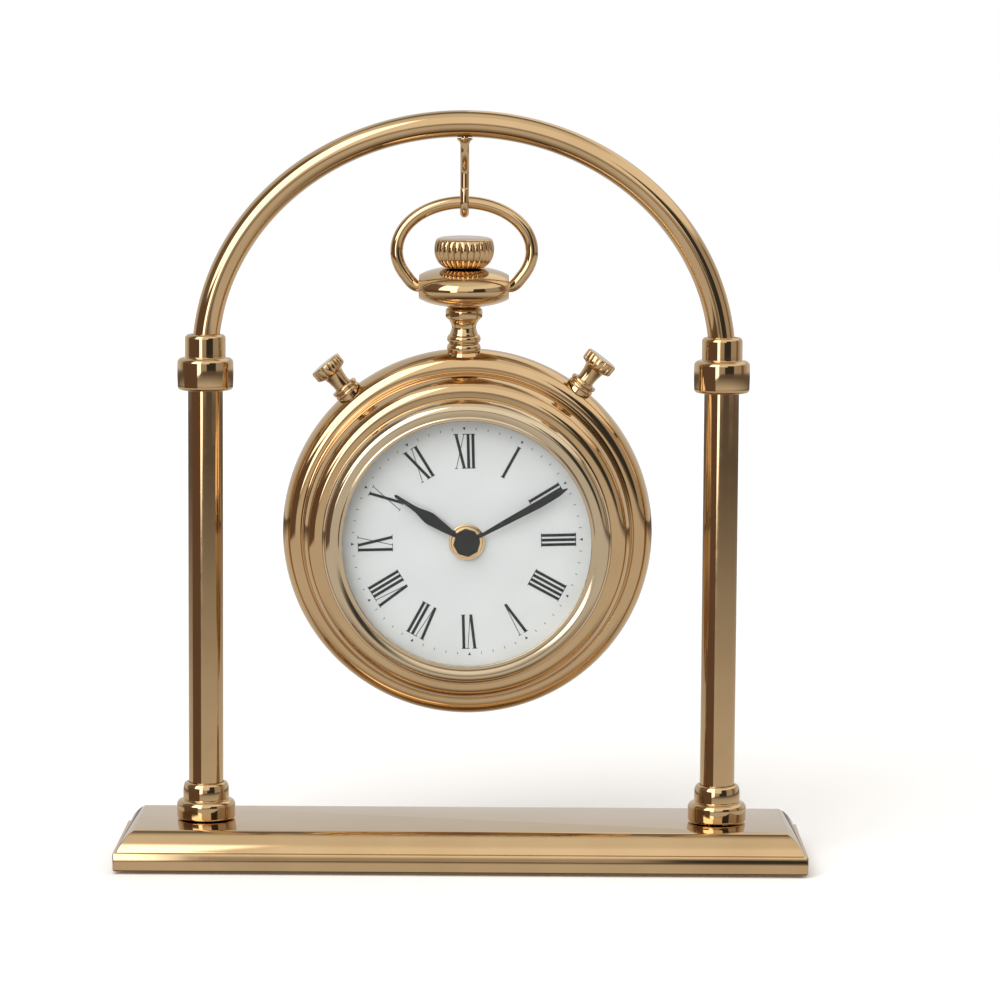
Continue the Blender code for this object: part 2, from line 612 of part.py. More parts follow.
def build_power(face, mats):
    body, button = 7.1, 2.7
    cell = [(0, -25.2), (body - 0.5, -25.2), (body, -24.7), (body, 24.0), (body - 0.7, 24.4),
            (button, 24.4), (button, 25.4), (0, 25.4)]
    turned("battery_aa", cell, SMALL_ROUND, mats["battery"], parent=face, location=(0, -18.4, 10.2),
           rotation_deg=(0, 90, 0))
    for side, x in (("negative", -26.1), ("positive", 26.1)):
        plate = rounded_rectangle(x - 0.3, x + 0.3, -23.5, -13.5, 0.1, 1)
        slab("battery_contact_" + side, plate, 5.0, 15.0, mats["steel"], parent=face)
    board = rounded_rectangle(-25.5, -3.0, 15.5, 25.5, 0.8, 2)
    slab("circuit_board", board, 14.6, 15.6, mats["green"], parent=face)
    spool = [(0, -9), (3.2, -9), (3.2, -8.2), (2.4, -8.2), (2.4, 8.2), (3.2, 8.2), (3.2, 9), (0, 9)]
    turned("drive_coil", spool, SMALL_ROUND, mats["copper"], parent=face, location=(-14.2, 20.5, 10.4),
           rotation_deg=(0, 90, 0))
    motor = rounded_rectangle(-3.6, 8.5, 16.5, 25.0, 1.5, 2)
    slab("step_motor", motor, 8.0, 12.6, mats["steel"], parent=face)


def motion_centre():
    return polar(12, TRAIN_SPACING)


def setting_centre():
    x, y = motion_centre()
    dx, dy = polar(66, TRAIN_SPACING)
    return x + dx, y + dy


def wheel(name, shaft_radius, shaft_low, shaft_high, gears, mat, face, centre=(0, 0), bore=0.0):
    """A shaft with toothed discs on it, each (radius, low, high); bore opens it along its axis."""
    teeth = 10
    shaft = toothed(shaft_radius, teeth, 0)
    levels = [(shaft, shaft_low)]
    for radius, low, high in gears:
        rim = toothed(radius, teeth, min(0.5, radius * 0.15))
        levels += [(shaft, low), (rim, low), (rim, high), (shaft, high)]
    levels.append((shaft, shaft_high))
    obj = lofted(name, levels, mat, parent=face, location=(*centre, 0))
    if bore:
        cut(obj, disc(name + "_bore", bore, shaft_low - 1, shaft_high + 1, SMALL_ROUND, None, parent=face,
                      location=(*centre, 0)))
    return obj


def build_train(face, mats):
    wheel("minute_arbor", 1.2, 6.2, 24.8, [(CENTRE_WHEEL, 11.4, 12.2), (MINUTE_PINION, 12.8, 13.6)],
          mats["nylon"], face)
    wheel("hour_wheel", 2.3, 14.0, 24.0, [(HOUR_WHEEL, 14.2, 15.2)], mats["nylon"], face, bore=1.4)
    wheel("motion_wheel", 0.9, 12.2, 16.9, [(MOTION_WHEEL, 12.8, 13.6), (MOTION_PINION, 14.2, 15.2)],
          mats["nylon"], face, centre=motion_centre())
    wheel("third_wheel", 0.6, 8.6, 12.6, [(THIRD_WHEEL, 9.6, 10.4), (THIRD_PINION, 11.4, 12.2)],
          mats["nylon"], face, centre=polar(130, CENTRE_WHEEL + THIRD_PINION + GAP))
    wheel("set_knob", 1.5, -1.2, 16.0, [(6.5, -1.0, 1.6), (MINUTE_PINION, 12.8, 13.6)],
          mats["plastic"], face, centre=setting_centre())


# ---------------------------------------------------------------- assembly
SIDES = (("left", -POST_HALF_SPACING), ("right", POST_HALF_SPACING))


def main():
    clear_scene()
    mats = make_finishes()
    build_base(mats)
    for side, x in SIDES:
        build_post(side, x, mats)
    build_arch(mats)
    build_hook(mats)
    build_bow(mats)

    watch = make_frame("WATCH", (0, 0, BASE_BOTTOM + PIVOT_HEIGHT), (WATCH_TILT, 0, 0))
    face = make_frame("FACE", (CASE_SHIFT, NECK_SET_FORWARD, -CASE_DROP), (90, -CASE_TURN, 0), watch)
    build_pendant(watch, mats)
    build_crown(watch, mats)
    build_neck(watch, face, mats)
    build_case(face, mats)
    build_back(face, mats)
    build_bezel(face, mats)
    for side, angle in (("left", -PUSHER_ANGLE), ("right", PUSHER_ANGLE)):
        build_pusher(side, angle, face, mats)
    build_hands(face, mats)
    build_housing(face, mats)
    build_power(face, mats)
    build_train(face, mats)


main()
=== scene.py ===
"""The looks of the hanging watch table clock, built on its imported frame.

Lengths are in millimetres in three frames: STAND on the underside of the base, WATCH on the bow's
pivot axis with z up the neck, and FACE on the case's axis with z out of the dial and y towards twelve.
"""

import json
import math

import bmesh
import bpy
from mathutils import Matrix, Vector


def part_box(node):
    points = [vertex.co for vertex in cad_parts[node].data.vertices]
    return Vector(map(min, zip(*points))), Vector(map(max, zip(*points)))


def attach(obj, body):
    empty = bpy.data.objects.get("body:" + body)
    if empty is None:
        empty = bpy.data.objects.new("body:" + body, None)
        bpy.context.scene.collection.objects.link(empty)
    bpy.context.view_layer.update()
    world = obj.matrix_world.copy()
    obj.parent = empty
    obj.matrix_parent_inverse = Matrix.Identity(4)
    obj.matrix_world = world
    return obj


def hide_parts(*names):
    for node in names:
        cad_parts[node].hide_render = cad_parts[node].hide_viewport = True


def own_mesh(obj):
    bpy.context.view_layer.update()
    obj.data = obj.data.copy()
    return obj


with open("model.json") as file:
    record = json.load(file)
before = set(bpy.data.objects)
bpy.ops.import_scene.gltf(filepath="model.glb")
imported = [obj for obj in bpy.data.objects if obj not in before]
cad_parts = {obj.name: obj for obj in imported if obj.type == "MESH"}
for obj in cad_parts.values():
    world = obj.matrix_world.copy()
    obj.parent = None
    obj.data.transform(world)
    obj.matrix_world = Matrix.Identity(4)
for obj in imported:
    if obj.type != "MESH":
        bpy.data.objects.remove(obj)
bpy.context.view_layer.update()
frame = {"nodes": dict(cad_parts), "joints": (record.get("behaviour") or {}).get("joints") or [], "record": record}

MM = 0.001
GAP = 0.3
SMOOTH_DEG = 35

# Sides of a turned piece, by its size
FINE = 192
MEDIUM = 96
SMALL = 48

BASE_WIDTH, BASE_DEPTH, BASE_HEIGHT = 254.0, 64.7, 14.2
EDGE_HEIGHT = 6.9
POST_RADIUS, POST_WALL, POST_OFFSET = 6.4, 1.2, 95.0
POST_TOP = 183.5
COLLAR_BOTTOM, COLLAR_STEP, COLLAR_TOP = 174.0, 186.0, 194.5
ARCH_HALF_WIDTH, ARCH_RISE, ARCH_SPRING, ARCH_ROD = 95.1, 86.6, 185.5, 4.9
HOOK_WIRE, HOOK_BEND, HOOK_BEND_CENTRE, HOOK_TIP = 1.6, 4.3, 243.7, 248.9
HOOK_TENON = 1.2
BOW_WIRE, BOW_HALF_WIDTH, BOW_HALF_HEIGHT, BOW_RISE = 2.3, 24.8, 17.8, 13.1
PENDANT_FLAT = 16.5
PIN_RADIUS, PIN_DEPTH = 2.0, 3.0
CASE_DROP, NECK_FORWARD, CASE_SHIFT, CASE_TURN = 91.8, 3.2, 1.6, 1.5
CASE_RADIUS, CASE_BACK = 68.5, -7.6
LOWER_RING_TOP, UPPER_RING, UPPER_RING_TOP = 9.3, 60.7, 20.4
SCREW_CIRCLE, SCREW_BORE = 60.4, 1.3
PUSHER_ANGLE, PUSHER_FLOOR, PUSHER_TRAVEL = 38.5, 68.6, 1.8
BATTERY_HEIGHT, BATTERY_DEPTH = -18.4, 10.2
DIAL_FRONT = 21.2
HOUR_ANGLE, MINUTE_ANGLE = 305.0, 62.3
PRINT_TURN = 0.1
PRINT_LIFT, PRINT_THICK = 0.01, 0.05


# ---------------------------------------------------------------- frames
def joint(name):
    return next(j for j in frame["joints"] if j["name"] == name)


def framed(origin, z_axis):
    """A frame at origin with its z along z_axis and its x along the row's x."""
    z = Vector(z_axis).normalized()
    x = Vector((1, 0, 0))
    y = z.cross(x).normalized()
    return Matrix.Translation(origin) @ Matrix((x, y, z)).transposed().to_4x4()


base_low, base_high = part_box("base_plate")
STAND = Matrix.Translation(((base_low.x + base_high.x) / 2, (base_low.y + base_high.y) / 2, base_low.z))
WATCH = framed(joint("crown_turn")["pos_m"], joint("crown_turn")["axis"])
FACE = framed(joint("minute_hand_turn")["pos_m"], [-a for a in joint("minute_hand_turn")["axis"]])
FACE = FACE @ Matrix.Rotation(math.radians(CASE_TURN), 4, "Z")


def shifted(place, x=0.0, y=0.0, z=0.0):
    return place @ Matrix.Translation((x * MM, y * MM, z * MM))


def turned_about(place, degrees, axis):
    return place @ Matrix.Rotation(math.radians(degrees), 4, axis)


# ---------------------------------------------------------------- outlines
def curve_between(start, corner, end, steps, power=2.0):
    """A rounded quarter from start to end that bulges towards corner."""
    (x0, y0), (x1, y1), (x2, y2) = start, corner, end
    points = []
    for i in range(steps + 1):
        turn = i / steps * math.pi / 2
        along = math.sin(turn) ** (2 / power)
        left = math.cos(turn) ** (2 / power)
        x = x1 + (x0 - x1) * (1 - along) + (x2 - x1) * (1 - left)
        y = y1 + (y0 - y1) * (1 - along) + (y2 - y1) * (1 - left)
        points.append((x, y))
    return points


def rounded(points, steps=4):
    """The closed outline, with each corner that has a third value rounded off by that much."""
    out = []
    for i, point in enumerate(points):
        if len(point) < 3:
            out.append(point)
            continue
        corner = Vector(point[:2])
        before = Vector(points[i - 1][:2]) - corner
        after = Vector(points[(i + 1) % len(points)][:2]) - corner
        start = corner + before.normalized() * min(point[2], before.length * 0.49)
        end = corner + after.normalized() * min(point[2], after.length * 0.49)
        for k in range(steps + 1):
            t = k / steps
            spot = start * (1 - t) ** 2 + corner * 2 * t * (1 - t) + end * t**2
            out.append((spot.x, spot.y))
    return out


def bead(low, high, inner, outer, steps=10):
    """Half-round moulding on a turned outline, from low to high."""
    middle, half = (low + high) / 2, (high - low) / 2
    turns = [math.pi * i / steps for i in range(steps + 1)]
    return [(inner + (outer - inner) * math.sin(t), middle - half * math.cos(t)) for t in turns]


def rectangle(x0, x1, y0, y1, radius, steps=6):
    centres = [(x1 - radius, y1 - radius, 0), (x0 + radius, y1 - radius, 90),
               (x0 + radius, y0 + radius, 180), (x1 - radius, y0 + radius, 270)]
    points = []
    for cx, cy, first in centres:
        for i in range(steps + 1):
            turn = math.radians(first + 90 * i / steps)
            points.append((cx + radius * math.cos(turn), cy + radius * math.sin(turn)))
    return points


def circle(radius, sides, centre=(0, 0)):
    turns = [2 * math.pi * i / sides for i in range(sides)]
    return [(centre[0] + radius * math.cos(t), centre[1] + radius * math.sin(t)) for t in turns]


# ---------------------------------------------------------------- meshes
def shaded(mesh, smooth_deg=SMOOTH_DEG):
    tidy = bmesh.new()
    tidy.from_mesh(mesh)
    bmesh.ops.remove_doubles(tidy, verts=tidy.verts, dist=1e-7)
    bmesh.ops.recalc_face_normals(tidy, faces=tidy.faces)
    tidy.to_mesh(mesh)
    tidy.free()
    mesh.shade_smooth()
    mesh.set_sharp_from_angle(angle=math.radians(smooth_deg))
    return mesh


def built(points, faces):
    mesh = bpy.data.meshes.new("made")
    mesh.from_pydata([[v * MM for v in point] for point in points], [], faces)
    return shaded(mesh)


def turned(outline, sides, flutes=0, sharpness=0.6):
    """Spins a closed (radius, height) outline round z. A third value is the grooves' depth there."""
    points, rows = [], []
    for radius, height, *groove in outline:
        if radius < 1e-6:
            rows.append([len(points)] * sides)
            points.append((0, 0, height))
            continue
        rows.append(list(range(len(points), len(points) + sides)))
        for i in range(sides):
            turn = 2 * math.pi * i / sides
            depth = groove[0] * (1 - abs(math.sin(flutes * turn / 2)) ** sharpness) if groove else 0
            size = radius - depth
            points.append((size * math.cos(turn), size * math.sin(turn), height))
    faces = []
    for lower, upper in zip(rows, rows[1:] + rows[:1]):
        for i in range(sides):
            j = (i + 1) % sides
            corners = list(dict.fromkeys((lower[i], lower[j], upper[j], upper[i])))
            if len(corners) > 2:
                faces.append(corners)
    return built(points, faces)


def lofted(levels):
    """A closed solid through outlines of equal point count, each (outline, height)."""
    count = len(levels[0][0])
    points = [(x, y, z) for outline, z in levels for x, y in outline]
    faces = []
    for row in range(len(levels) - 1):
        for i in range(count):
            j = (i + 1) % count
            faces.append((row * count + i, row * count + j, (row + 1) * count + j, (row + 1) * count + i))
    last = (len(levels) - 1) * count
    faces += [tuple(range(count)), tuple(range(last, last + count))]
    return built(points, faces)


def swept(path, radii, up, sides=32, closed=False):
    """A round rod along path; up is a direction that the path never takes."""
    up = Vector(up)
    path = [Vector(p) for p in path]
    points, faces = [], []
    count = len(path)
    for i, centre in enumerate(path):
        ahead = path[(i + 1) % count] if closed else path[min(i + 1, count - 1)]
        behind = path[i - 1] if closed else path[max(i - 1, 0)]
        along = (ahead - behind).normalized()
        side = along.cross(up).normalized()
        top = side.cross(along)
        for k in range(sides):
            turn = 2 * math.pi * k / sides
            points.append(centre + (side * math.cos(turn) + top * math.sin(turn)) * radii[i])
    for i in range(count if closed else count - 1):
        a, b = i * sides, (i + 1) % count * sides
        faces += [(a + k, a + (k + 1) % sides, b + (k + 1) % sides, b + k) for k in range(sides)]
    if not closed:
        faces += [tuple(range(sides)), tuple(range((count - 1) * sides, count * sides))]
    return built(points, faces)


def carved(mesh, *cutters):
    """The mesh with each (cutter mesh, matrix) taken away."""
    solid = bpy.data.objects.new("solid", mesh)
    bpy.context.scene.collection.objects.link(solid)
    helpers = []
    for cutter, place in cutters:
        helper = bpy.data.objects.new("cutter", cutter)
        bpy.context.scene.collection.objects.link(helper)
        helper.matrix_world = place
        modifier = solid.modifiers.new("cut", "BOOLEAN")
        modifier.operation, modifier.solver, modifier.object = "DIFFERENCE", "EXACT", helper
        helpers.append(helper)
    bpy.context.view_layer.update()
    graph = bpy.context.evaluated_depsgraph_get()
    result = bpy.data.meshes.new_from_object(solid.evaluated_get(graph))
    for helper in [solid] + helpers:
        bpy.data.objects.remove(helper, do_unlink=True)
    return shaded(result)


def trimmed(mesh, half_width):
    """The mesh cut square at x = -half_width and x = +half_width, and closed."""
    body = bmesh.new()
    body.from_mesh(mesh)
    for side in (-1, 1):
        geom = list(body.verts) + list(body.edges) + list(body.faces)
        found = bmesh.ops.bisect_plane(body, geom=geom, dist=1e-7, plane_co=(side * half_width * MM, 0, 0),
                                       plane_no=(side, 0, 0), clear_outer=True)
        rim = [e for e in found["geom_cut"] if isinstance(e, bmesh.types.BMEdge)]
        bmesh.ops.contextual_create(body, geom=rim)
    body.to_mesh(mesh)
    body.free()
    return shaded(mesh)


def drill(radius, low, high, sides=SMALL):
    return turned([(0, low), (radius, low), (radius, high), (0, high)], sides)


# ---------------------------------------------------------------- materials
NOISE_LOW, NOISE_HIGH = 0.3, 0.7


class Look:
    """A node material under construction: every texture runs on object coordinates."""

    def __init__(self, name):
        self.material = bpy.data.materials.new(name)
        self.material.use_nodes = True
        self.tree = self.material.node_tree
        self.shader = self.tree.nodes["Principled BSDF"]
        self.place = self.add("ShaderNodeTexCoord").outputs["Object"]

    def add(self, kind, **settings):
        node = self.tree.nodes.new(kind)
        for key, value in settings.items():
            setattr(node, key, value)
        return node

    def set(self, **values):
        for key, value in values.items():
            self.shader.inputs[key.replace("_", " ")].default_value = value
        return self

    def noise(self, scale, detail=4.0, stretch=None):
        node = self.add("ShaderNodeTexNoise")
        node.inputs["Scale"].default_value = scale
        node.inputs["Detail"].default_value = detail
        source = self.place
        if stretch:
            mapping = self.add("ShaderNodeMapping")
            mapping.inputs["Scale"].default_value = stretch
            self.tree.links.new(source, mapping.inputs["Vector"])
            source = mapping.outputs["Vector"]
        self.tree.links.new(source, node.inputs["Vector"])
        return node.outputs["Fac"]

    def wave(self, scale, direction, distortion=0.0):
        node = self.add("ShaderNodeTexWave", bands_direction=direction)
        node.inputs["Scale"].default_value = scale
        node.inputs["Distortion"].default_value = distortion
        self.tree.links.new(self.place, node.inputs["Vector"])
        return node.outputs["Fac"]

    def ramp(self, value, stops, target):
        node = self.add("ShaderNodeValToRGB")
        ramp = node.color_ramp
        while len(ramp.elements) < len(stops):
            ramp.elements.new(0.5)
        for element, (position, colour) in zip(ramp.elements, stops):
            element.position = position
            element.color = (*colour, 1.0)
        self.tree.links.new(value, node.inputs["Fac"])
        self.tree.links.new(node.outputs["Color"], self.shader.inputs[target])
        return self

    def levels(self, value, low, high, target):
        """Sends a pattern to a number socket, spread over low to high."""
        node = self.add("ShaderNodeMapRange")
        node.inputs["From Min"].default_value, node.inputs["From Max"].default_value = NOISE_LOW, NOISE_HIGH
        node.inputs["To Min"].default_value, node.inputs["To Max"].default_value = low, high
        self.tree.links.new(value, node.inputs["Value"])
        self.tree.links.new(node.outputs["Result"], self.shader.inputs[target])
        return self

    def bump(self, height, depth, strength=1.0):
        """Relief of depth millimetres."""
        node = self.add("ShaderNodeBump")
        node.inputs["Strength"].default_value = strength
        node.inputs["Distance"].default_value = depth * MM
        self.tree.links.new(height, node.inputs["Height"])
        self.tree.links.new(node.outputs["Normal"], self.shader.inputs["Normal"])
        return self


def metal(name, dark, light, smooth, rough, relief=0.0):
    look = Look(name).set(Metallic=1.0)
    look.ramp(look.noise(35, 6), [(0.35, dark), (0.65, light)], "Base Color")
    look.levels(look.noise(160, 5), smooth, rough, "Roughness")
    if relief:
        look.bump(look.noise(900, 3), relief)
    return look.material


def moulded(name, dark, light, smooth, rough, relief, grain=1500, gloss=0.5):
    look = Look(name).set(Specular_IOR_Level=gloss)
    look.ramp(look.noise(60, 5), [(0.35, dark), (0.65, light)], "Base Color")
    look.levels(look.noise(240, 4), smooth, rough, "Roughness")
    look.bump(look.noise(grain, 3), relief)
    return look.material


def felt_look():
    look = Look("felt").set(Sheen_Weight=0.4, Sheen_Roughness=0.5)
    look.ramp(look.noise(2200, 6), [(0.3, (0.012, 0.045, 0.025)), (0.7, (0.035, 0.12, 0.07))], "Base Color")
    look.levels(look.noise(500, 4), 0.9, 1.0, "Roughness")
    look.bump(look.noise(2600, 6, (1, 1, 3)), 0.25)
    return look.material


def copper_look():
    look = Look("copper_winding").set(Metallic=1.0, Coat_Weight=0.4)
    turns = look.wave(900, "X")
    look.ramp(turns, [(0.1, (0.20, 0.06, 0.025)), (0.7, (0.78, 0.33, 0.16))], "Base Color")
    look.levels(look.noise(300, 3), 0.25, 0.4, "Roughness")
    look.bump(turns, 0.08)
    return look.material


def board_look():
    look = Look("circuit_board").set(Coat_Weight=0.5)
    grid = look.add("ShaderNodeTexBrick", offset=0.3)
    grid.inputs["Scale"].default_value = 260
    grid.inputs["Mortar Size"].default_value = 0.06
    look.tree.links.new(look.place, grid.inputs["Vector"])
    look.ramp(grid.outputs["Fac"], [(0.2, (0.012, 0.12, 0.04)), (0.8, (0.06, 0.26, 0.10))], "Base Color")
    look.levels(look.noise(200, 3), 0.28, 0.42, "Roughness")
    return look.material


def sleeve_look():
    """A battery's printed sleeve: a plain dark body and a copper band at its positive end."""
    look = Look("battery_sleeve").set(Metallic=0.55, Coat_Weight=0.5)
    parts = look.add("ShaderNodeSeparateXYZ")
    look.tree.links.new(look.place, parts.inputs["Vector"])
    ends = look.add("ShaderNodeMapRange")
    ends.inputs["From Min"].default_value, ends.inputs["From Max"].default_value = -25.4 * MM, 25.4 * MM
    look.tree.links.new(parts.outputs["X"], ends.inputs["Value"])
    base, sleeve, band, cap = (0.55, 0.55, 0.56), (0.02, 0.025, 0.035), (0.55, 0.26, 0.09), (0.6, 0.6, 0.61)
    stops = [(0.0, base), (0.012, sleeve), (0.70, sleeve), (0.71, band), (0.965, band), (0.975, cap)]
    look.ramp(ends.outputs["Result"], stops, "Base Color")
    look.levels(look.noise(300, 4), 0.22, 0.34, "Roughness")
    return look.material


def glass_look():
    """Clear glass that lets the lamps' light through to the dial."""
    look = Look("watch_glass").set(Transmission_Weight=1.0, IOR=1.32)
    look.ramp(look.noise(20, 2), [(0.3, (0.965, 0.985, 0.98)), (0.7, (0.985, 0.995, 0.99))], "Base Color")
    look.levels(look.noise(90, 3), 0.0, 0.012, "Roughness")
    tree = look.tree
    clear = look.add("ShaderNodeBsdfTransparent")
    path = look.add("ShaderNodeLightPath")
    mix = look.add("ShaderNodeMixShader")
    tree.links.new(path.outputs["Is Shadow Ray"], mix.inputs["Fac"])
    tree.links.new(look.shader.outputs["BSDF"], mix.inputs[1])
    tree.links.new(clear.outputs["BSDF"], mix.inputs[2])
    tree.links.new(mix.outputs["Shader"], tree.nodes["Material Output"].inputs["Surface"])
    return look.material


LOOKS = {
    "polished_brass": metal("polished_brass", (0.60, 0.42, 0.23), (0.65, 0.46, 0.26), 0.045, 0.085),
    "champagne_brass": metal("champagne_brass", (0.62, 0.50, 0.34), (0.66, 0.54, 0.375), 0.07, 0.12),
    "bright_steel": metal("bright_steel", (0.48, 0.48, 0.49), (0.62, 0.62, 0.63), 0.16, 0.30, 0.002),
    "copper_wire": copper_look(),
    "white_dial": moulded("white_dial", (0.515, 0.525, 0.53), (0.54, 0.55, 0.555), 0.38, 0.5, 0.002),
    "black_paint": moulded("black_paint", (0.004, 0.004, 0.005), (0.007, 0.007, 0.008), 0.45, 0.6, 0.003,
                           gloss=0.15),
    "black_plastic": moulded("black_plastic", (0.016, 0.016, 0.017), (0.03, 0.03, 0.031), 0.42, 0.6, 0.02),
    "white_nylon": moulded("white_nylon", (0.70, 0.69, 0.64), (0.78, 0.77, 0.73), 0.4, 0.55, 0.006),
    "board_green": board_look(),
    "black_rubber": moulded("black_rubber", (0.014, 0.014, 0.014), (0.026, 0.026, 0.026), 0.7, 0.9, 0.02),
    "green_felt": felt_look(),
    "clear_glass": glass_look(),
    "battery_sleeve": sleeve_look(),
}


# ---------------------------------------------------------------- pieces
def piece(name, mesh, slot, body, place, *nodes):
    """A finished piece that rides on a body and stands for CAD nodes."""
    obj = bpy.data.objects.new(name, mesh)
    bpy.context.scene.collection.objects.link(obj)
    mesh.materials.clear()
    mesh.materials.append(LOOKS[slot])
    obj.matrix_world = place
    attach(obj, body)
    if nodes:
        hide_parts(*nodes)
    return obj


def finish_cad_nodes():
    slots = {part["node"]: part["material_slot"] for part in frame["record"]["subparts"]}
    for name, node in frame["nodes"].items():
        node.data.materials.clear()
        node.data.materials.append(LOOKS[slots[name]])


# ---------------------------------------------------------------- stand
def base_outline(inset, corner):
    x, y = BASE_WIDTH / 2 - inset, BASE_DEPTH / 2 - inset
    return rectangle(-x, x, -y, y, corner, 4)


def build_base():
    lean = 1.2
    slope = curve_between((lean, EDGE_HEIGHT + 0.1), (lean + 2.2, BASE_HEIGHT), (7.7, BASE_HEIGHT), 16, 1.6)
    levels = [(0.9, 0.0), (0.45, 0.1), (0.12, 0.38), (0.0, 0.8), (0.0, EDGE_HEIGHT - 0.5),
              (0.12, EDGE_HEIGHT - 0.12), (0.5, EDGE_HEIGHT)] + slope
    mesh = lofted([(base_outline(inset, 0.5), z) for inset, z in levels])
    piece("base", mesh, "polished_brass", "stand", STAND, "base_plate")
    thick = base_low.z / MM - GAP
    felt = [(rectangle(-121, 121, -26, 26, 3), z) for z in (0, thick)]
    piece("felt_pad", lofted(felt), "green_felt", "stand", Matrix.Identity(4), "base_felt")


def build_post(side, x):
    at = shifted(STAND, x)
    foot = BASE_HEIGHT + GAP
    bore = POST_RADIUS + 0.25
    tube = [(POST_RADIUS - POST_WALL, foot), (POST_RADIUS, foot), (POST_RADIUS, POST_TOP),
            (POST_RADIUS - POST_WALL, POST_TOP)]
    piece(side + "_post", turned(tube, MEDIUM), "polished_brass", "stand", at, side + "_post_tube")

    flange = rounded([(bore, foot), (10.8, foot, 0.8), (10.8, 19.2)])
    flange += curve_between((10.8, 19.4), (10.8, 21.4), (9.1, 21.4), 10)
    flange += rounded([(9.1, 21.4), (8.5, 21.45, 0.3), (8.5, 22.0)])
    flange += curve_between((8.5, 22.0), (8.5, 28.0), (bore, 28.0), 14, 3.5)
    piece(side + "_foot", turned(flange, MEDIUM), "polished_brass", "stand", at, side + "_foot_flange")

    arch_bore = ARCH_ROD + 0.75
    collar = [(bore, COLLAR_BOTTOM), (8.9, COLLAR_BOTTOM)]
    collar += curve_between((8.9, COLLAR_BOTTOM), (10.1, COLLAR_BOTTOM), (10.15, COLLAR_BOTTOM + 1.2), 6)
    collar += curve_between((10.15, COLLAR_BOTTOM + 1.4), (10.45, 180.0), (10.3, COLLAR_STEP - 2.0), 10)
    collar += curve_between((10.3, COLLAR_STEP - 1.8), (10.2, COLLAR_STEP), (8.1, COLLAR_STEP), 10)
    collar += rounded([(7.9, COLLAR_STEP), (7.5, COLLAR_STEP, 0.3), (7.5, COLLAR_STEP + 0.6)])
    collar += curve_between((7.5, COLLAR_TOP - 1.6), (7.5, COLLAR_TOP), (arch_bore + 0.4, COLLAR_TOP), 8)
    collar += [(arch_bore, COLLAR_TOP - 0.3), (arch_bore, POST_TOP + GAP), (bore, POST_TOP + GAP)]
    piece(side + "_collar", turned(collar, MEDIUM), "polished_brass", "stand", at, side + "_arch_collar")


def build_arch():
    steps = 160
    path = []
    for i in range(steps + 1):
        turn = math.pi * i / steps
        path.append((ARCH_HALF_WIDTH * math.cos(turn), 0, ARCH_SPRING + ARCH_RISE * math.sin(turn)))
    foot = POST_TOP + 2 * GAP
    path = [(ARCH_HALF_WIDTH, 0, foot)] + path + [(-ARCH_HALF_WIDTH, 0, foot)]
    arch = swept(path, [ARCH_ROD] * len(path), (0, 1, 0), SMALL)
    crown = ARCH_SPRING + ARCH_RISE
    hole = drill(HOOK_TENON + GAP, crown - 7, crown + 1.5, 24)
    arch = carved(arch, (hole, Matrix.Identity(4)))
    piece("arch", arch, "polished_brass", "stand", STAND, "arch_rod")


def build_hook():
    underside = ARCH_SPRING + ARCH_RISE - ARCH_ROD
    levels = [(5.5, HOOK_TENON), (-0.2, HOOK_TENON), (-0.3, 2.5), (-0.42, 2.85), (-0.65, 2.95), (-0.95, 2.8),
              (-1.25, 2.35), (-1.7, 1.95), (-2.6, HOOK_WIRE)]
    path = [(0, underside + drop) for drop, _ in levels]
    radii = [radius for _, radius in levels]
    steps = 20
    for i in range(1, steps + 1):
        sway = HOOK_BEND * (0.5 - 0.5 * math.cos(math.pi * i / steps))
        path.append((sway, underside - 4.6 - i / steps * 8.9))
        radii.append(HOOK_WIRE)
    for i in range(1, 33):
        turn = math.pi * i / 32
        path.append((HOOK_BEND * math.cos(turn), HOOK_BEND_CENTRE - HOOK_BEND * math.sin(turn)))
        radii.append(HOOK_WIRE)
    for drop, radius in ((0.8, HOOK_WIRE), (0.4, 1.5), (0.15, 1.25), (0.0, 0.8)):
        path.append((-HOOK_BEND, HOOK_TIP - drop))
        radii.append(radius)
    mesh = swept([(0, y, z) for y, z in path], radii, (1, 0, 0), 32)
    piece("hook", mesh, "polished_brass", "stand", STAND, "hanging_hook")


# ---------------------------------------------------------------- bow, pendant, crown
def build_bow():
    lowest = math.radians(32)
    steps = 120
    arc = []
    for i in range(steps + 1):
        turn = -lowest + (math.pi + 2 * lowest) * i / steps
        arc.append((BOW_HALF_WIDTH * math.cos(turn), 0, BOW_RISE + BOW_HALF_HEIGHT * math.sin(turn)))
    right = [(PENDANT_FLAT - PIN_DEPTH, 0, 0), (PENDANT_FLAT, 0, 0)]
    radii = [PIN_RADIUS, PIN_RADIUS]
    start, end = Vector((PENDANT_FLAT + 0.45, 0, 0)), Vector(arc[0])
    corner = start + Vector((1.6, 0, 0.1))
    for i in range(16):
        t = i / 16
        right.append(tuple(start * (1 - t) ** 2 + corner * 2 * t * (1 - t) + end * t**2))
        radii.append(PIN_RADIUS + (BOW_WIRE - PIN_RADIUS) * min(1, 1.6 * t))
    left = [(-x, 0, z) for x, _, z in reversed(right)]
    radii = radii + [BOW_WIRE] * len(arc) + radii[::-1]
    place = Matrix.Translation(WATCH.translation)
    piece("bow", swept(right + arc + left, radii, (0, 1, 0), 32), "polished_brass", "bow", place, "bow_ring")


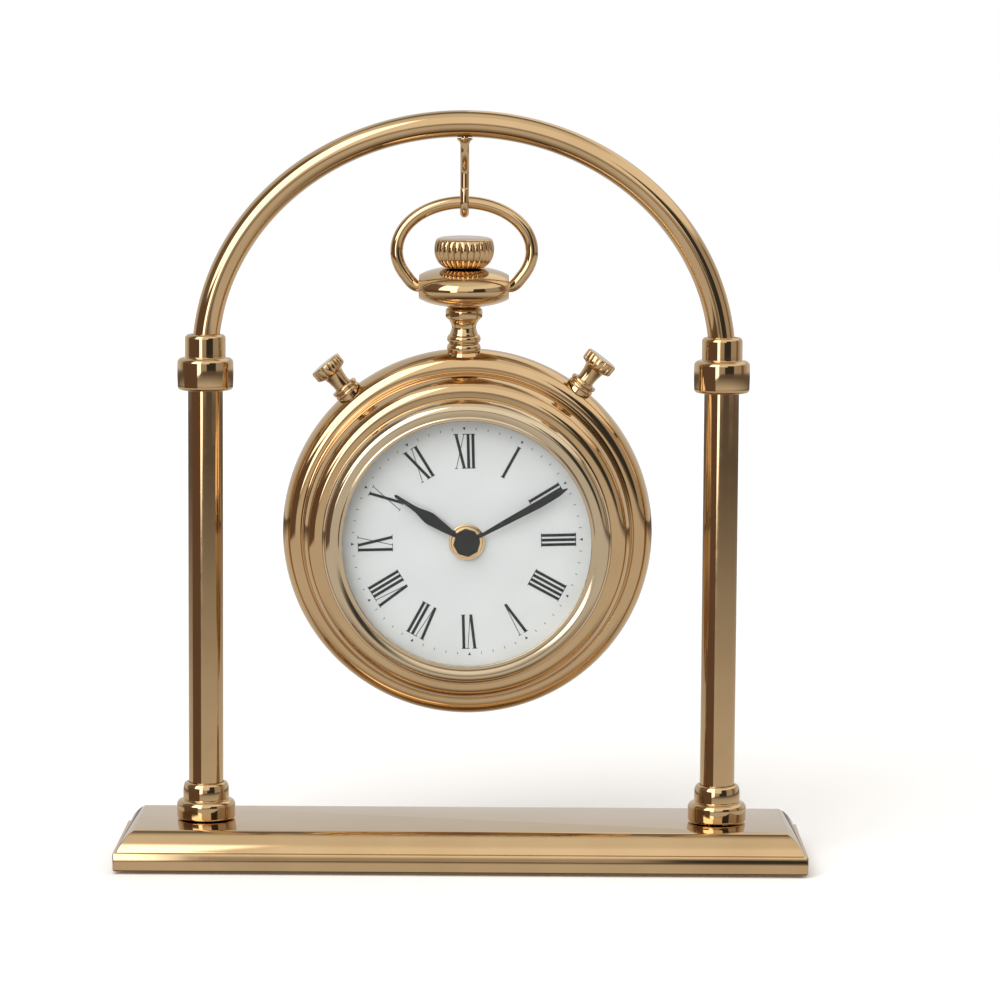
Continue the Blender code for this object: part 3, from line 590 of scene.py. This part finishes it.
def build_pendant():
    wide, tall, power = 19.5, 7.3, 2.2
    tenon, stem = 2.6, 2.7
    bulge = []
    for i in range(41):
        turn = math.radians(-74 + 148 * i / 40)
        r = wide * math.cos(turn) ** (2 / power)
        z = math.copysign(tall * abs(math.sin(turn)) ** (2 / power), turn)
        bulge.append((r, z))
    low, high = bulge[0], bulge[-1]
    outline = [(0, -3.4), (tenon, -3.4), (tenon, low[1])] + bulge + [(stem, high[1]), (stem, 3.0), (0, 3.0)]
    mesh = trimmed(turned(outline, MEDIUM), PENDANT_FLAT)
    bores = []
    for side in (-1, 1):
        place = shifted(Matrix.Identity(4), side * PENDANT_FLAT)
        bores.append((drill(2.2, -3.4, 3), turned_about(place, 90 * side, "Y")))
    piece("pendant_body", carved(mesh, *bores), "polished_brass", "watch", WATCH, "pendant")


def build_crown():
    low, high = 7.35, 17.9
    flutes, steps = 26, 12
    outline = [(0, 3.4), (2.4, 3.4), (2.4, low), (7.4, low), (7.8, low + 0.1, 0.1), (8.3, low + 0.5, 0.3),
               (9.0, low + 1.1, 0.5), (9.6, low + 1.8, 0.62), (10.2, low + 2.8, 0.7), (10.6, low + 3.8, 0.75),
               (10.9, low + 5.0, 0.75), (11.02, low + 6.2, 0.75), (11.0, low + 7.4, 0.7),
               (10.85, low + 8.4, 0.6), (10.6, high - 1.3, 0.45), (10.3, high - 0.6, 0.2),
               (9.9, high - 0.25), (9.3, high), (0, high)]
    mesh = turned(outline, flutes * steps, flutes)
    piece("crown", mesh, "polished_brass", "crown", WATCH, "crown_knob")


def case_profile():
    """The case's outside from its back rim to its front lip, as (radius, height)."""
    back = curve_between((65.3, CASE_BACK), (CASE_RADIUS, CASE_BACK), (CASE_RADIUS, 0), 12)
    first = curve_between((CASE_RADIUS, 0), (CASE_RADIUS, LOWER_RING_TOP), (61.8, LOWER_RING_TOP), 20, 2.3)
    second = curve_between((UPPER_RING, LOWER_RING_TOP), (UPPER_RING, UPPER_RING_TOP),
                           (54.9, UPPER_RING_TOP), 20, 2.2)
    return back, first, second


def case_edge(across, height):
    """How far out the case's surface lies, at a distance across and a height along its axis."""
    back, first, _ = case_profile()
    outline = back + first[1:]
    for (r0, z0), (r1, z1) in zip(outline, outline[1:]):
        if z0 <= height <= z1 and z1 > z0:
            radius = r0 + (r1 - r0) * (height - z0) / (z1 - z0)
            return math.sqrt(radius**2 - across**2) + GAP
    return CASE_RADIUS + GAP


def build_neck():
    outline = [(0, -4.0), (2.4, -4.0), (2.4, -7.4)]
    outline += rounded([(2.4, -7.4), (5.4, -7.4, 0.3), (6.8, -8.3, 0.6), (6.8, -11.2, 0.5), (5.6, -12.2, 0.8),
                        (4.8, -13.4, 0.9), (4.4, -14.9, 0.9), (4.8, -16.4, 0.9), (5.3, -17.6)])
    outline += bead(-20.6, -17.7, 5.3, 6.2)[::-1] + bead(-24.0, -20.9, 5.3, 6.2)[::-1]
    outline += [(6.0, -25.4), (0, -25.4)]
    mesh = turned(outline, MEDIUM)
    for vertex in mesh.vertices:
        x, y, z = (v / MM for v in vertex.co)
        edge = case_edge(x - CASE_SHIFT, NECK_FORWARD - y) - CASE_DROP
        if z < edge:
            vertex.co.z = edge * MM
    piece("neck", mesh, "polished_brass", "watch", WATCH, "pendant_neck")


# ---------------------------------------------------------------- case
def screw_places():
    turns = [math.radians(90 + 120 * i) for i in range(3)]
    return [(SCREW_CIRCLE * math.cos(t), SCREW_CIRCLE * math.sin(t)) for t in turns]


def build_case():
    back, first, second = case_profile()
    under = UPPER_RING_TOP - 1.3
    outline = back + first[1:] + [(61.4, 9.2), (61.15, 8.95), (60.9, 9.0)] + second
    outline += [(44.0, UPPER_RING_TOP), (44.0, under), (54.3, under), (58.7, 16.6), (59.4, 8.0), (63.0, 7.6),
                (66.4, 4.6), (67.2, 0), (64.9, -4.7), (57.5, -4.7), (57.5, -6.0), (63.6, -6.0),
                (63.6, CASE_BACK)]
    bores = [(drill(SCREW_BORE, -8, -3, 24), shifted(Matrix.Identity(4), x, y)) for x, y in screw_places()]
    mesh = carved(turned(outline, FINE), *bores)
    piece("case", mesh, "polished_brass", "watch", FACE, "case_shell")


def build_back():
    outline = rounded([(32.0, -6.3), (63.2, -6.3), (63.2, -7.3, 0.4), (62.8, -7.5), (56.0, -7.5, 0.4),
                       (54.6, -8.1, 0.4), (33.2, -8.1, 0.5), (32.0, -7.6, 0.3)])
    bores = [(drill(SCREW_BORE, -9, -5, 24), shifted(Matrix.Identity(4), x, y)) for x, y in screw_places()]
    piece("back_plate", carved(turned(outline, FINE), *bores), "polished_brass", "watch", FACE, "back_cover")
    screw = [(0, -8.9), (1.4, -8.85), (1.9, -8.6), (2.25, -8.2), (2.3, -7.8), (1.05, -7.8), (1.05, -4.0),
             (0, -4.0)]
    for i, (x, y) in enumerate(screw_places(), 1):
        slot = lofted([(rectangle(-3, 3, -0.25, 0.25, 0.1, 2), z) for z in (-9.5, -8.35)])
        mesh = carved(turned(screw, SMALL), (slot, turned_about(Matrix.Identity(4), 37 * i, "Z")))
        place = shifted(FACE, x, y)
        piece("case_screw_%d" % i, mesh, "bright_steel", "watch", place, "back_cover_screw_%d" % i)


def build_bezel():
    outline = rounded([(51.8, 20.7), (52.9, 20.7), (53.2, 21.0)])
    outline += curve_between((53.2, 22.3), (53.2, 28.1), (49.4, 28.1), 22, 2.0)
    outline += rounded([(48.6, 28.05), (47.1, 27.6, 0.3), (46.7, 27.9, 0.2), (45.5, 27.9, 0.25),
                        (45.5, 27.4)])
    outline += [(47.9, 27.4), (47.9, 21.5), (49.3, 21.5), (49.3, 26.7), (50.8, 26.0), (51.8, 23.0)]
    piece("bezel", turned(outline, FINE), "champagne_brass", "watch", FACE, "bezel_ring")
    lens = rounded([(0, 25.6), (47.7, 25.6, 0.2), (47.7, 26.8, 0.3), (45.5, 27.1, 0.8), (30, 27.24),
                    (0, 27.3)])
    piece("glass", turned(lens, FINE), "clear_glass", "watch", FACE, "glass_lens")
    spacer = rounded([(46.2, 21.5, 0.15), (47.6, 21.5), (47.6, 25.3), (46.2, 25.3, 0.15)])
    piece("inner_ring", turned(spacer, FINE), "champagne_brass", "watch", FACE, "glass_spacer")
    dial = rounded([(4.3, 20.7), (50.0, 20.7), (50.0, DIAL_FRONT, 0.1), (4.3, DIAL_FRONT)])
    piece("dial", turned(dial, FINE), "white_dial", "watch", FACE, "dial_plate")


# ---------------------------------------------------------------- dial print
THICK, THIN = 1.08, 0.26
NUMERAL_LOW, NUMERAL_HIGH = 27.1, 39.9
NUMERALS = ["XII", "I", "II", "III", "IIII", "V", "VI", "VII", "VIII", "IX", "X", "XI"]
SPREADS = {"I": 1.75, "V": 4.0, "X": 4.4}


def stroke(x0, x1, width):
    """A straight stroke of a numeral from its foot at x0 to its head at x1."""
    half = width / 2
    return [(x0 - half, NUMERAL_LOW), (x0 + half, NUMERAL_LOW), (x1 + half, NUMERAL_HIGH),
            (x1 - half, NUMERAL_HIGH)]


def serif(x, y, half):
    low, high = y - THIN / 2, y + THIN / 2
    return [(x - half, low), (x + half, low), (x + half, high), (x - half, high)]


def letter_shapes(letter, x):
    half = SPREADS[letter] / 2
    low, high = NUMERAL_LOW + THIN / 2, NUMERAL_HIGH - THIN / 2
    if letter == "I":
        return [stroke(x, x, THICK), serif(x, low, 0.86), serif(x, high, 0.86)]
    left, right = x - half + 0.85, x + half - 0.6
    if letter == "V":
        return [stroke(x + 0.1, left, THICK), stroke(x + 0.35, right, THIN), serif(left, high, 0.95),
                serif(right, high, 0.6)]
    return [stroke(right - 0.1, left, THICK), stroke(left - 0.1, right, THIN), serif(left, high, 0.95),
            serif(right, high, 0.6), serif(left - 0.1, low, 0.6), serif(right - 0.1, low, 0.95)]


def print_shapes():
    """Every printed mark, as outlines on a dial with twelve at the top."""
    shapes = []
    for hour, numeral in enumerate(NUMERALS):
        turn = Matrix.Rotation(math.radians(PRINT_TURN - 30 * hour), 2)
        width = sum(SPREADS[letter] for letter in numeral)
        x = -width / 2
        marks = [[(-0.55, 42.3), (0, 41.2), (0.55, 42.3)]]
        for letter in numeral:
            x += SPREADS[letter] / 2
            marks += letter_shapes(letter, x)
            x += SPREADS[letter] / 2
        shapes += [[turn @ Vector(p) for p in mark] for mark in marks]
        for minute in range(1, 5):
            turn = Matrix.Rotation(math.radians(PRINT_TURN - 30 * hour - 6 * minute), 2)
            tick = [(-0.11, 41.25), (0.11, 41.25), (0.11, 42.2), (-0.11, 42.2)]
            shapes.append([turn @ Vector(p) for p in tick])
    return shapes


def build_print():
    points, faces = [], []
    for shape in print_shapes():
        first, count = len(points), len(shape)
        for z in (DIAL_FRONT + PRINT_LIFT, DIAL_FRONT + PRINT_LIFT + PRINT_THICK):
            points += [(x, y, z) for x, y in shape]
        faces += [tuple(first + i for i in range(count)), tuple(first + count + i for i in range(count))]
        for i in range(count):
            j = (i + 1) % count
            faces.append((first + i, first + j, first + count + j, first + count + i))
    mesh = bpy.data.meshes.new("print")
    mesh.from_pydata([[v * MM for v in point] for point in points], [], faces)
    body = bmesh.new()
    body.from_mesh(mesh)
    bmesh.ops.recalc_face_normals(body, faces=body.faces)
    body.to_mesh(mesh)
    body.free()
    piece("dial_print", mesh, "black_paint", "watch", FACE)


# ---------------------------------------------------------------- hands
def hand_mesh(hub, hole, stations, low, high):
    """A round hub and a blade along +y, from (distance, half width) stations, with softened edges."""
    first = math.acos(stations[0][1] / hub)
    sweep = math.pi + 2 * first
    levels = []
    for inset, z in ((0.06, low), (0.0, low + 0.08), (0.0, high - 0.12), (0.08, high)):
        outline = []
        for i in range(41):
            turn = first - sweep * i / 40
            outline.append(((hub - inset) * math.cos(turn), (hub - inset) * math.sin(turn)))
        outline += [(-max(half - inset, 0.05), y) for y, half in stations[1:]]
        outline += [(max(half - inset, 0.05), y) for y, half in reversed(stations[1:])]
        levels.append((outline, z))
    return carved(lofted(levels), (drill(hole, low - 1, high + 1), Matrix.Identity(4)))


def build_hands():
    hour = [(0, 0.6), (9, 1.45), (16.2, 2.35), (18.5, 1.95), (21.5, 1.15), (24.5, 0.85), (31.1, 0.6),
            (31.7, 0.2)]
    minute = [(0, 0.55), (15, 1.0), (30.0, 1.45), (34.5, 1.3), (38.5, 1.05), (42.0, 0.2)]
    mesh = hand_mesh(4.4, 2.45, hour, 23.5, 23.9)
    place = turned_about(FACE, -HOUR_ANGLE, "Z")
    piece("hour_pointer", mesh, "black_paint", "hour_train", place, "hour_hand")
    mesh = hand_mesh(4.4, 1.35, minute, 24.25, 24.65)
    place = turned_about(FACE, -MINUTE_ANGLE, "Z")
    piece("minute_pointer", mesh, "black_paint", "minute_train", place, "minute_hand")
    cap = [(circle(4.92, 8), 25.0), (circle(5.0, 8), 25.06), (circle(4.75, 8), 25.3), (circle(4.3, 8), 25.4)]
    piece("hand_nut", lofted(cap), "black_paint", "minute_train", turned_about(place, 22.5, "Z"), "hand_cap")
    washer = rounded([(4.15, 21.5), (6.6, 21.5, 0.1), (6.6, 22.2, 0.25), (5.9, 22.3), (5.6, 23.0, 0.2),
                      (4.15, 23.0)])
    piece("dial_nut", turned(washer, MEDIUM), "polished_brass", "watch", FACE, "centre_nut")


# ---------------------------------------------------------------- pushers
def build_pusher(side, angle):
    axis = turned_about(shifted(FACE, z=NECK_FORWARD), -angle, "Z")
    axis = turned_about(axis, -90, "X")
    collar = [(0, 64.0), (4.5, 64.0), (4.5, 68.0)]
    collar += bead(68.2, 69.75, 4.5, 5.05) + bead(69.85, 71.6, 4.5, 5.15)
    collar += [(3.45, 71.6), (3.45, PUSHER_FLOOR), (0, PUSHER_FLOOR)]
    mesh = turned(collar, MEDIUM)
    for vertex in mesh.vertices:
        x, y, z = (v / MM for v in vertex.co)
        edge = case_edge(x, NECK_FORWARD - y)
        if z < min(edge, 68.5):
            vertex.co.z = edge * MM
    piece(side + "_collar_tube", mesh, "polished_brass", "watch", axis, side + "_pusher_collar")

    stem, head = 3.2, 6.2
    cap = [(0, 79.5), (2.5, 79.5), (2.5, 70.6), (stem - 0.2, 70.6), (stem, 70.8), (stem, 73.6), (3.45, 75.6),
           (3.8, 77.1), (4.1, 77.35), (5.6, 78.0), (5.95, 78.25, 0.15), (head, 78.7, 0.4), (head, 80.2, 0.45),
           (head, 81.6, 0.4), (6.05, 82.0, 0.15), (5.75, 82.25), (5.4, 82.3), (0, 82.3)]
    flutes, steps = 14, 14
    mesh = turned(cap, flutes * steps, flutes, 0.35)
    piece(side + "_push_button", mesh, "polished_brass", side + "_pusher", axis, side + "_pusher_button")
    build_spring(side, axis)


def build_spring(side, axis):
    """The coil under a button. It stands on the collar's floor."""
    turns, per_turn, coil, wire = 4, 24, 1.8, 0.28
    seat = PUSHER_FLOOR + GAP
    low, high = seat + GAP, 79.1
    count = turns * per_turn
    path = []
    for i in range(count + 1):
        turn = 2 * math.pi * i / per_turn
        path.append((coil * math.cos(turn), coil * math.sin(turn), low + (high - low) * i / count))
    mesh = swept(path, [wire] * len(path), (0, 0, 1), 10)
    spring = piece(side + "_coil_spring", mesh, "bright_steel", "watch", axis, side + "_pusher_spring")
    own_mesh(spring)


# ---------------------------------------------------------------- movement
def build_movement():
    half, wall, corner = 28.0, 1.3, 4.0
    back, front = 3.6, 18.6

    def square(inset):
        return rectangle(-half + inset, half - inset, -half + inset, half - inset, corner - inset)

    levels = [(square(wall), front - wall), (square(wall), back), (square(0.3), back),
              (square(0.0), back + 0.3), (square(0.0), front - 0.6), (square(0.2), front - 0.2),
              (square(0.6), front)]
    mesh = carved(lofted(levels), (drill(4.1, front - 3, front + 1), Matrix.Identity(4)))
    piece("movement_case", mesh, "black_plastic", "watch", FACE, "movement_housing")

    knob_at = FACE.inverted() @ Vector(joint("set_knob_turn")["pos_m"]) / MM
    lid_back = back - 1.6
    lid = [(rectangle(-half + i, half - i, -9.4 + i, half - i, 3 - i), z)
           for i, z in ((0.35, lid_back), (0.0, lid_back + 0.3), (0.0, back - GAP))]
    groove = turned([(7.3, -0.5), (8.0, -0.5), (8.0, lid_back + 0.35), (7.3, lid_back + 0.35)], MEDIUM)
    at_knob = shifted(Matrix.Identity(4), knob_at.x, knob_at.y)
    mesh = carved(lofted(lid), (groove, at_knob), (drill(1.75, 0, back + 1), at_knob))
    piece("movement_lid", mesh, "black_plastic", "watch", FACE, "movement_cover")

    knob = [(0, -1.2), (1.5, -1.2), (1.5, -1.0), (5.9, -1.0), (6.3, -0.9, 0.2), (6.5, -0.6, 0.5),
            (6.5, 1.2, 0.5), (6.3, 1.5, 0.2), (5.9, 1.6), (1.5, 1.6), (1.5, 12.8), (3.0, 12.8, 0.45),
            (3.0, 13.6, 0.45), (1.5, 13.6), (1.5, 16.0), (0, 16.0)]
    flutes, steps = 30, 8
    place = shifted(FACE, knob_at.x, knob_at.y)
    mesh = turned(knob, flutes * steps, flutes)
    piece("setting_knob", mesh, "black_plastic", "setting", place, "set_knob")

    cell = rounded([(0, -25.2), (5.6, -25.2, 0.2), (5.7, -24.9), (6.6, -24.95, 0.2), (7.1, -24.6, 0.3),
                    (7.1, 24.0, 0.3), (6.4, 24.4, 0.3), (2.9, 24.3), (2.7, 24.5), (2.7, 25.4, 0.3),
                    (0, 25.4)])
    mesh = turned(cell, MEDIUM)
    mesh.transform(Matrix.Rotation(math.radians(90), 4, "Y"))
    place = shifted(FACE, 0, BATTERY_HEIGHT, BATTERY_DEPTH)
    piece("battery", mesh, "battery_sleeve", "watch", place, "battery_aa")


# ---------------------------------------------------------------- stage
def ramp_node(tree, value, stops, low, high):
    spread = tree.nodes.new("ShaderNodeMapRange")
    spread.inputs["From Min"].default_value, spread.inputs["From Max"].default_value = low, high
    tree.links.new(value, spread.inputs["Value"])
    node = tree.nodes.new("ShaderNodeValToRGB")
    ramp = node.color_ramp
    while len(ramp.elements) < len(stops):
        ramp.elements.new(0.5)
    for element, (position, colour) in zip(ramp.elements, stops):
        element.position = (position - low) / (high - low)
        element.color = (*colour, 1.0)
    tree.links.new(spread.outputs["Result"], node.inputs["Fac"])
    return node.outputs["Color"]


def grey(level):
    return (level, level, level)


# Round the studio at eye level: a pale backdrop behind the clock and a warm wall on the camera's side.
BACKDROP, WALL = grey(0.7), (0.5, 0.46, 0.42)
# Plain upright panels in front of them: (left edge, right edge, light), in degrees right of the camera.
PANEL_SOFT = 4.0
CUPBOARD = (-105.0, -56.0, (0.2, 0.16, 0.13))
WINDOW = (-58.0, -13.0, grey(3.3))
SCREEN = (7.0, 50.0, grey(0.05))
DOOR_FRAME = (82.0, 100.0, (0.25, 0.18, 0.12))
# The table, by degrees above the horizon: shadow under the clock, a lit top and a dark far edge.
SHADOW, LIT, FAR_EDGE = (0.1, 0.06, 0.04), (0.7, 0.67, 0.63), (0.15, 0.13, 0.12)
TABLE = [(-90, SHADOW), (-65, SHADOW), (-30, LIT), (-10, LIT), (-6, FAR_EDGE)]
# What is overhead, by front and back; the ceiling below it; and a low cabinet before the cupboard.
OVERHEAD_FRONT, OVERHEAD_BACK = (0.90, 0.87, 0.81), (0.20, 0.18, 0.15)
CEILING, CABINET = (1.12, 1.08, 1.02), (0.16, 0.105, 0.08)
# Where each fades in, in degrees above the horizon
HORIZON, CEILING_EDGE, OVERHEAD_EDGE = (-7.2, -6.4), (1.0, 9.0), (52.0, 64.0)
CABINET_TOP, CABINET_FOOT = (11.0, 8.0), (-14.0, -12.5)
# The same in degrees right of the camera. Above the screen the ceiling's edge is SCREEN_RISE higher.
BACKDROP_EDGE, CEILING_LEFT, SCREEN_EDGE, SCREEN_RISE = (105.0, 125.0), (-17.0, -12.0), (19.0, 23.0), 24.0
CABINET_LEFT, CABINET_RIGHT = (-100.0, -90.0), (-27.0, -31.0)


class World:
    """Node arithmetic for a sky that depends only on direction."""

    def __init__(self):
        self.world = bpy.data.worlds.new("studio")
        self.world.use_nodes = True
        self.tree = self.world.node_tree
        place = self.tree.nodes.new("ShaderNodeTexCoord")
        split = self.tree.nodes.new("ShaderNodeSeparateXYZ")
        self.tree.links.new(place.outputs["Generated"], split.inputs["Vector"])
        x, y, z = (split.outputs[axis] for axis in "XYZ")
        self.azimuth = self.degrees(self.math("ARCTAN2", x, self.math("MULTIPLY", y, -1.0)))
        self.elevation = self.degrees(self.math("ARCSINE", z))
        self.depth = y

    def math(self, operation, first, second=0.0):
        node = self.tree.nodes.new("ShaderNodeMath")
        node.operation = operation
        for socket, value in zip(node.inputs, (first, second)):
            if isinstance(value, float):
                socket.default_value = value
            else:
                self.tree.links.new(value, socket)
        return node.outputs["Value"]

    def degrees(self, angle):
        return self.math("MULTIPLY", angle, math.degrees(1))

    def step(self, value, low, high):
        """0 below low and 1 above high, with a soft change between."""
        node = self.tree.nodes.new("ShaderNodeMapRange")
        node.interpolation_type = "SMOOTHSTEP"
        node.inputs["From Min"].default_value, node.inputs["From Max"].default_value = low, high
        self.tree.links.new(value, node.inputs["Value"])
        return node.outputs["Result"]

    def mix(self, share, first, second):
        node = self.tree.nodes.new("ShaderNodeMix")
        node.data_type = "RGBA"
        colours = [s for s in node.inputs if s.type == "RGBA"]
        self.tree.links.new(share, node.inputs[0])
        for socket, value in zip(colours, (first, second)):
            if isinstance(value, tuple):
                socket.default_value = (*value, 1.0)
            else:
                self.tree.links.new(value, socket)
        return next(s for s in node.outputs if s.type == "RGBA")


def build_world():
    sky = World()
    room = sky.mix(sky.step(sky.math("ABSOLUTE", sky.azimuth), *BACKDROP_EDGE), WALL, BACKDROP)
    for left, right, light in (CUPBOARD, WINDOW, SCREEN, DOOR_FRAME):
        shown = sky.math("MULTIPLY", sky.step(sky.azimuth, left, left + PANEL_SOFT),
                         sky.step(sky.azimuth, right, right - PANEL_SOFT))
        room = sky.mix(shown, room, light)
    # The ceiling shows over the room, except to the right, where something black stands in front of it.
    lowered = sky.math("MULTIPLY", sky.step(sky.azimuth, *SCREEN_EDGE), -SCREEN_RISE)
    ceiling = sky.step(sky.math("ADD", sky.elevation, lowered), *CEILING_EDGE)
    room = sky.mix(sky.math("MULTIPLY", ceiling, sky.step(sky.azimuth, *CEILING_LEFT)), room, CEILING)
    table = ramp_node(sky.tree, sky.elevation, TABLE, -90, -6)
    overhead = sky.mix(sky.step(sky.depth, -0.1, 0.35), OVERHEAD_FRONT, OVERHEAD_BACK)
    # The big window's lower edge is a shallow V, so the line between room and table bends with it.
    bend = sky.math("ABSOLUTE", sky.math("ADD", sky.azimuth, 30.0))
    edge = sky.math("MULTIPLY", sky.math("MINIMUM", bend, 26.0), -0.085)
    above = sky.math("ADD", sky.elevation, edge)
    light = sky.mix(sky.step(above, *HORIZON), table, room)
    # A dark cabinet to the left cuts off the window's lower corner and shows in the table.
    beside = sky.math("MULTIPLY", sky.step(sky.azimuth, *CABINET_LEFT), sky.step(sky.azimuth, *CABINET_RIGHT))
    upright = sky.math("MULTIPLY", sky.step(sky.elevation, *CABINET_TOP),
                       sky.step(sky.elevation, *CABINET_FOOT))
    light = sky.mix(sky.math("MULTIPLY", beside, upright), light, CABINET)
    light = sky.mix(sky.step(sky.elevation, *OVERHEAD_EDGE), light, overhead)
    path = sky.tree.nodes.new("ShaderNodeLightPath")
    seen = sky.mix(path.outputs["Is Camera Ray"], light, (1.0, 1.0, 1.0))
    background = sky.tree.nodes["Background"]
    sky.tree.links.new(seen, background.inputs["Color"])
    bpy.context.scene.world = sky.world


FLOOR_HALF = 4.0
KEY_POWER, KEY_SPREAD, KEY_TILT, KEY_TURN = 1.4, 60, 42, -28


def build_stage():
    corners = [(x * FLOOR_HALF, y * FLOOR_HALF, 0) for x, y in ((-1, -1), (1, -1), (1, 1), (-1, 1))]
    mesh = bpy.data.meshes.new("floor")
    mesh.from_pydata(corners, [], [(0, 1, 2, 3)])
    look = Look("floor").set(Roughness=0.9)
    look.ramp(look.noise(3, 2), [(0.3, grey(0.90)), (0.7, grey(0.92))], "Base Color")
    mesh.materials.append(look.material)
    floor = bpy.data.objects.new("floor", mesh)
    bpy.context.scene.collection.objects.link(floor)
    floor.visible_glossy = False

    sun = bpy.data.lights.new("key", "SUN")
    sun.energy, sun.angle = KEY_POWER, math.radians(KEY_SPREAD)
    lamp = bpy.data.objects.new("key", sun)
    lamp.rotation_euler = (math.radians(KEY_TILT), 0, math.radians(KEY_TURN))
    lamp.visible_glossy = False
    bpy.context.scene.collection.objects.link(lamp)


# The camera: its lens, its place above the table, and how it turns and looks down
FOCAL_LENGTH, SENSOR = 147.2, 36.0
CAMERA_X, CAMERA_Y, CAMERA_HEIGHT = 0.01299, -1.5, 0.300
CAMERA_YAW, CAMERA_PITCH, CAMERA_ROLL = -0.025, 6.322, 0.347


def place_camera():
    data = bpy.data.cameras.new("camera")
    data.sensor_width, data.lens = SENSOR, FOCAL_LENGTH
    data.clip_end = 30.0
    camera = bpy.data.objects.new("camera", data)
    bpy.context.scene.collection.objects.link(camera)
    place = Matrix.Translation((CAMERA_X, CAMERA_Y, base_low.z + CAMERA_HEIGHT))
    place = turned_about(turned_about(place, CAMERA_YAW, "Z"), 90 - CAMERA_PITCH, "X")
    camera.matrix_world = turned_about(place, CAMERA_ROLL, "Z")
    bpy.context.scene.camera = camera
    bpy.context.scene.view_settings.view_transform = "Standard"


# ---------------------------------------------------------------- assembly
def main():
    finish_cad_nodes()
    build_base()
    for side, x in (("left", -POST_OFFSET), ("right", POST_OFFSET)):
        build_post(side, x)
    build_arch()
    build_hook()
    build_bow()
    build_pendant()
    build_crown()
    build_neck()
    build_case()
    build_back()
    build_bezel()
    build_print()
    build_hands()
    for side, angle in (("left", -PUSHER_ANGLE), ("right", PUSHER_ANGLE)):
        build_pusher(side, angle)
    build_movement()
    build_world()
    build_stage()
    place_camera()


main()
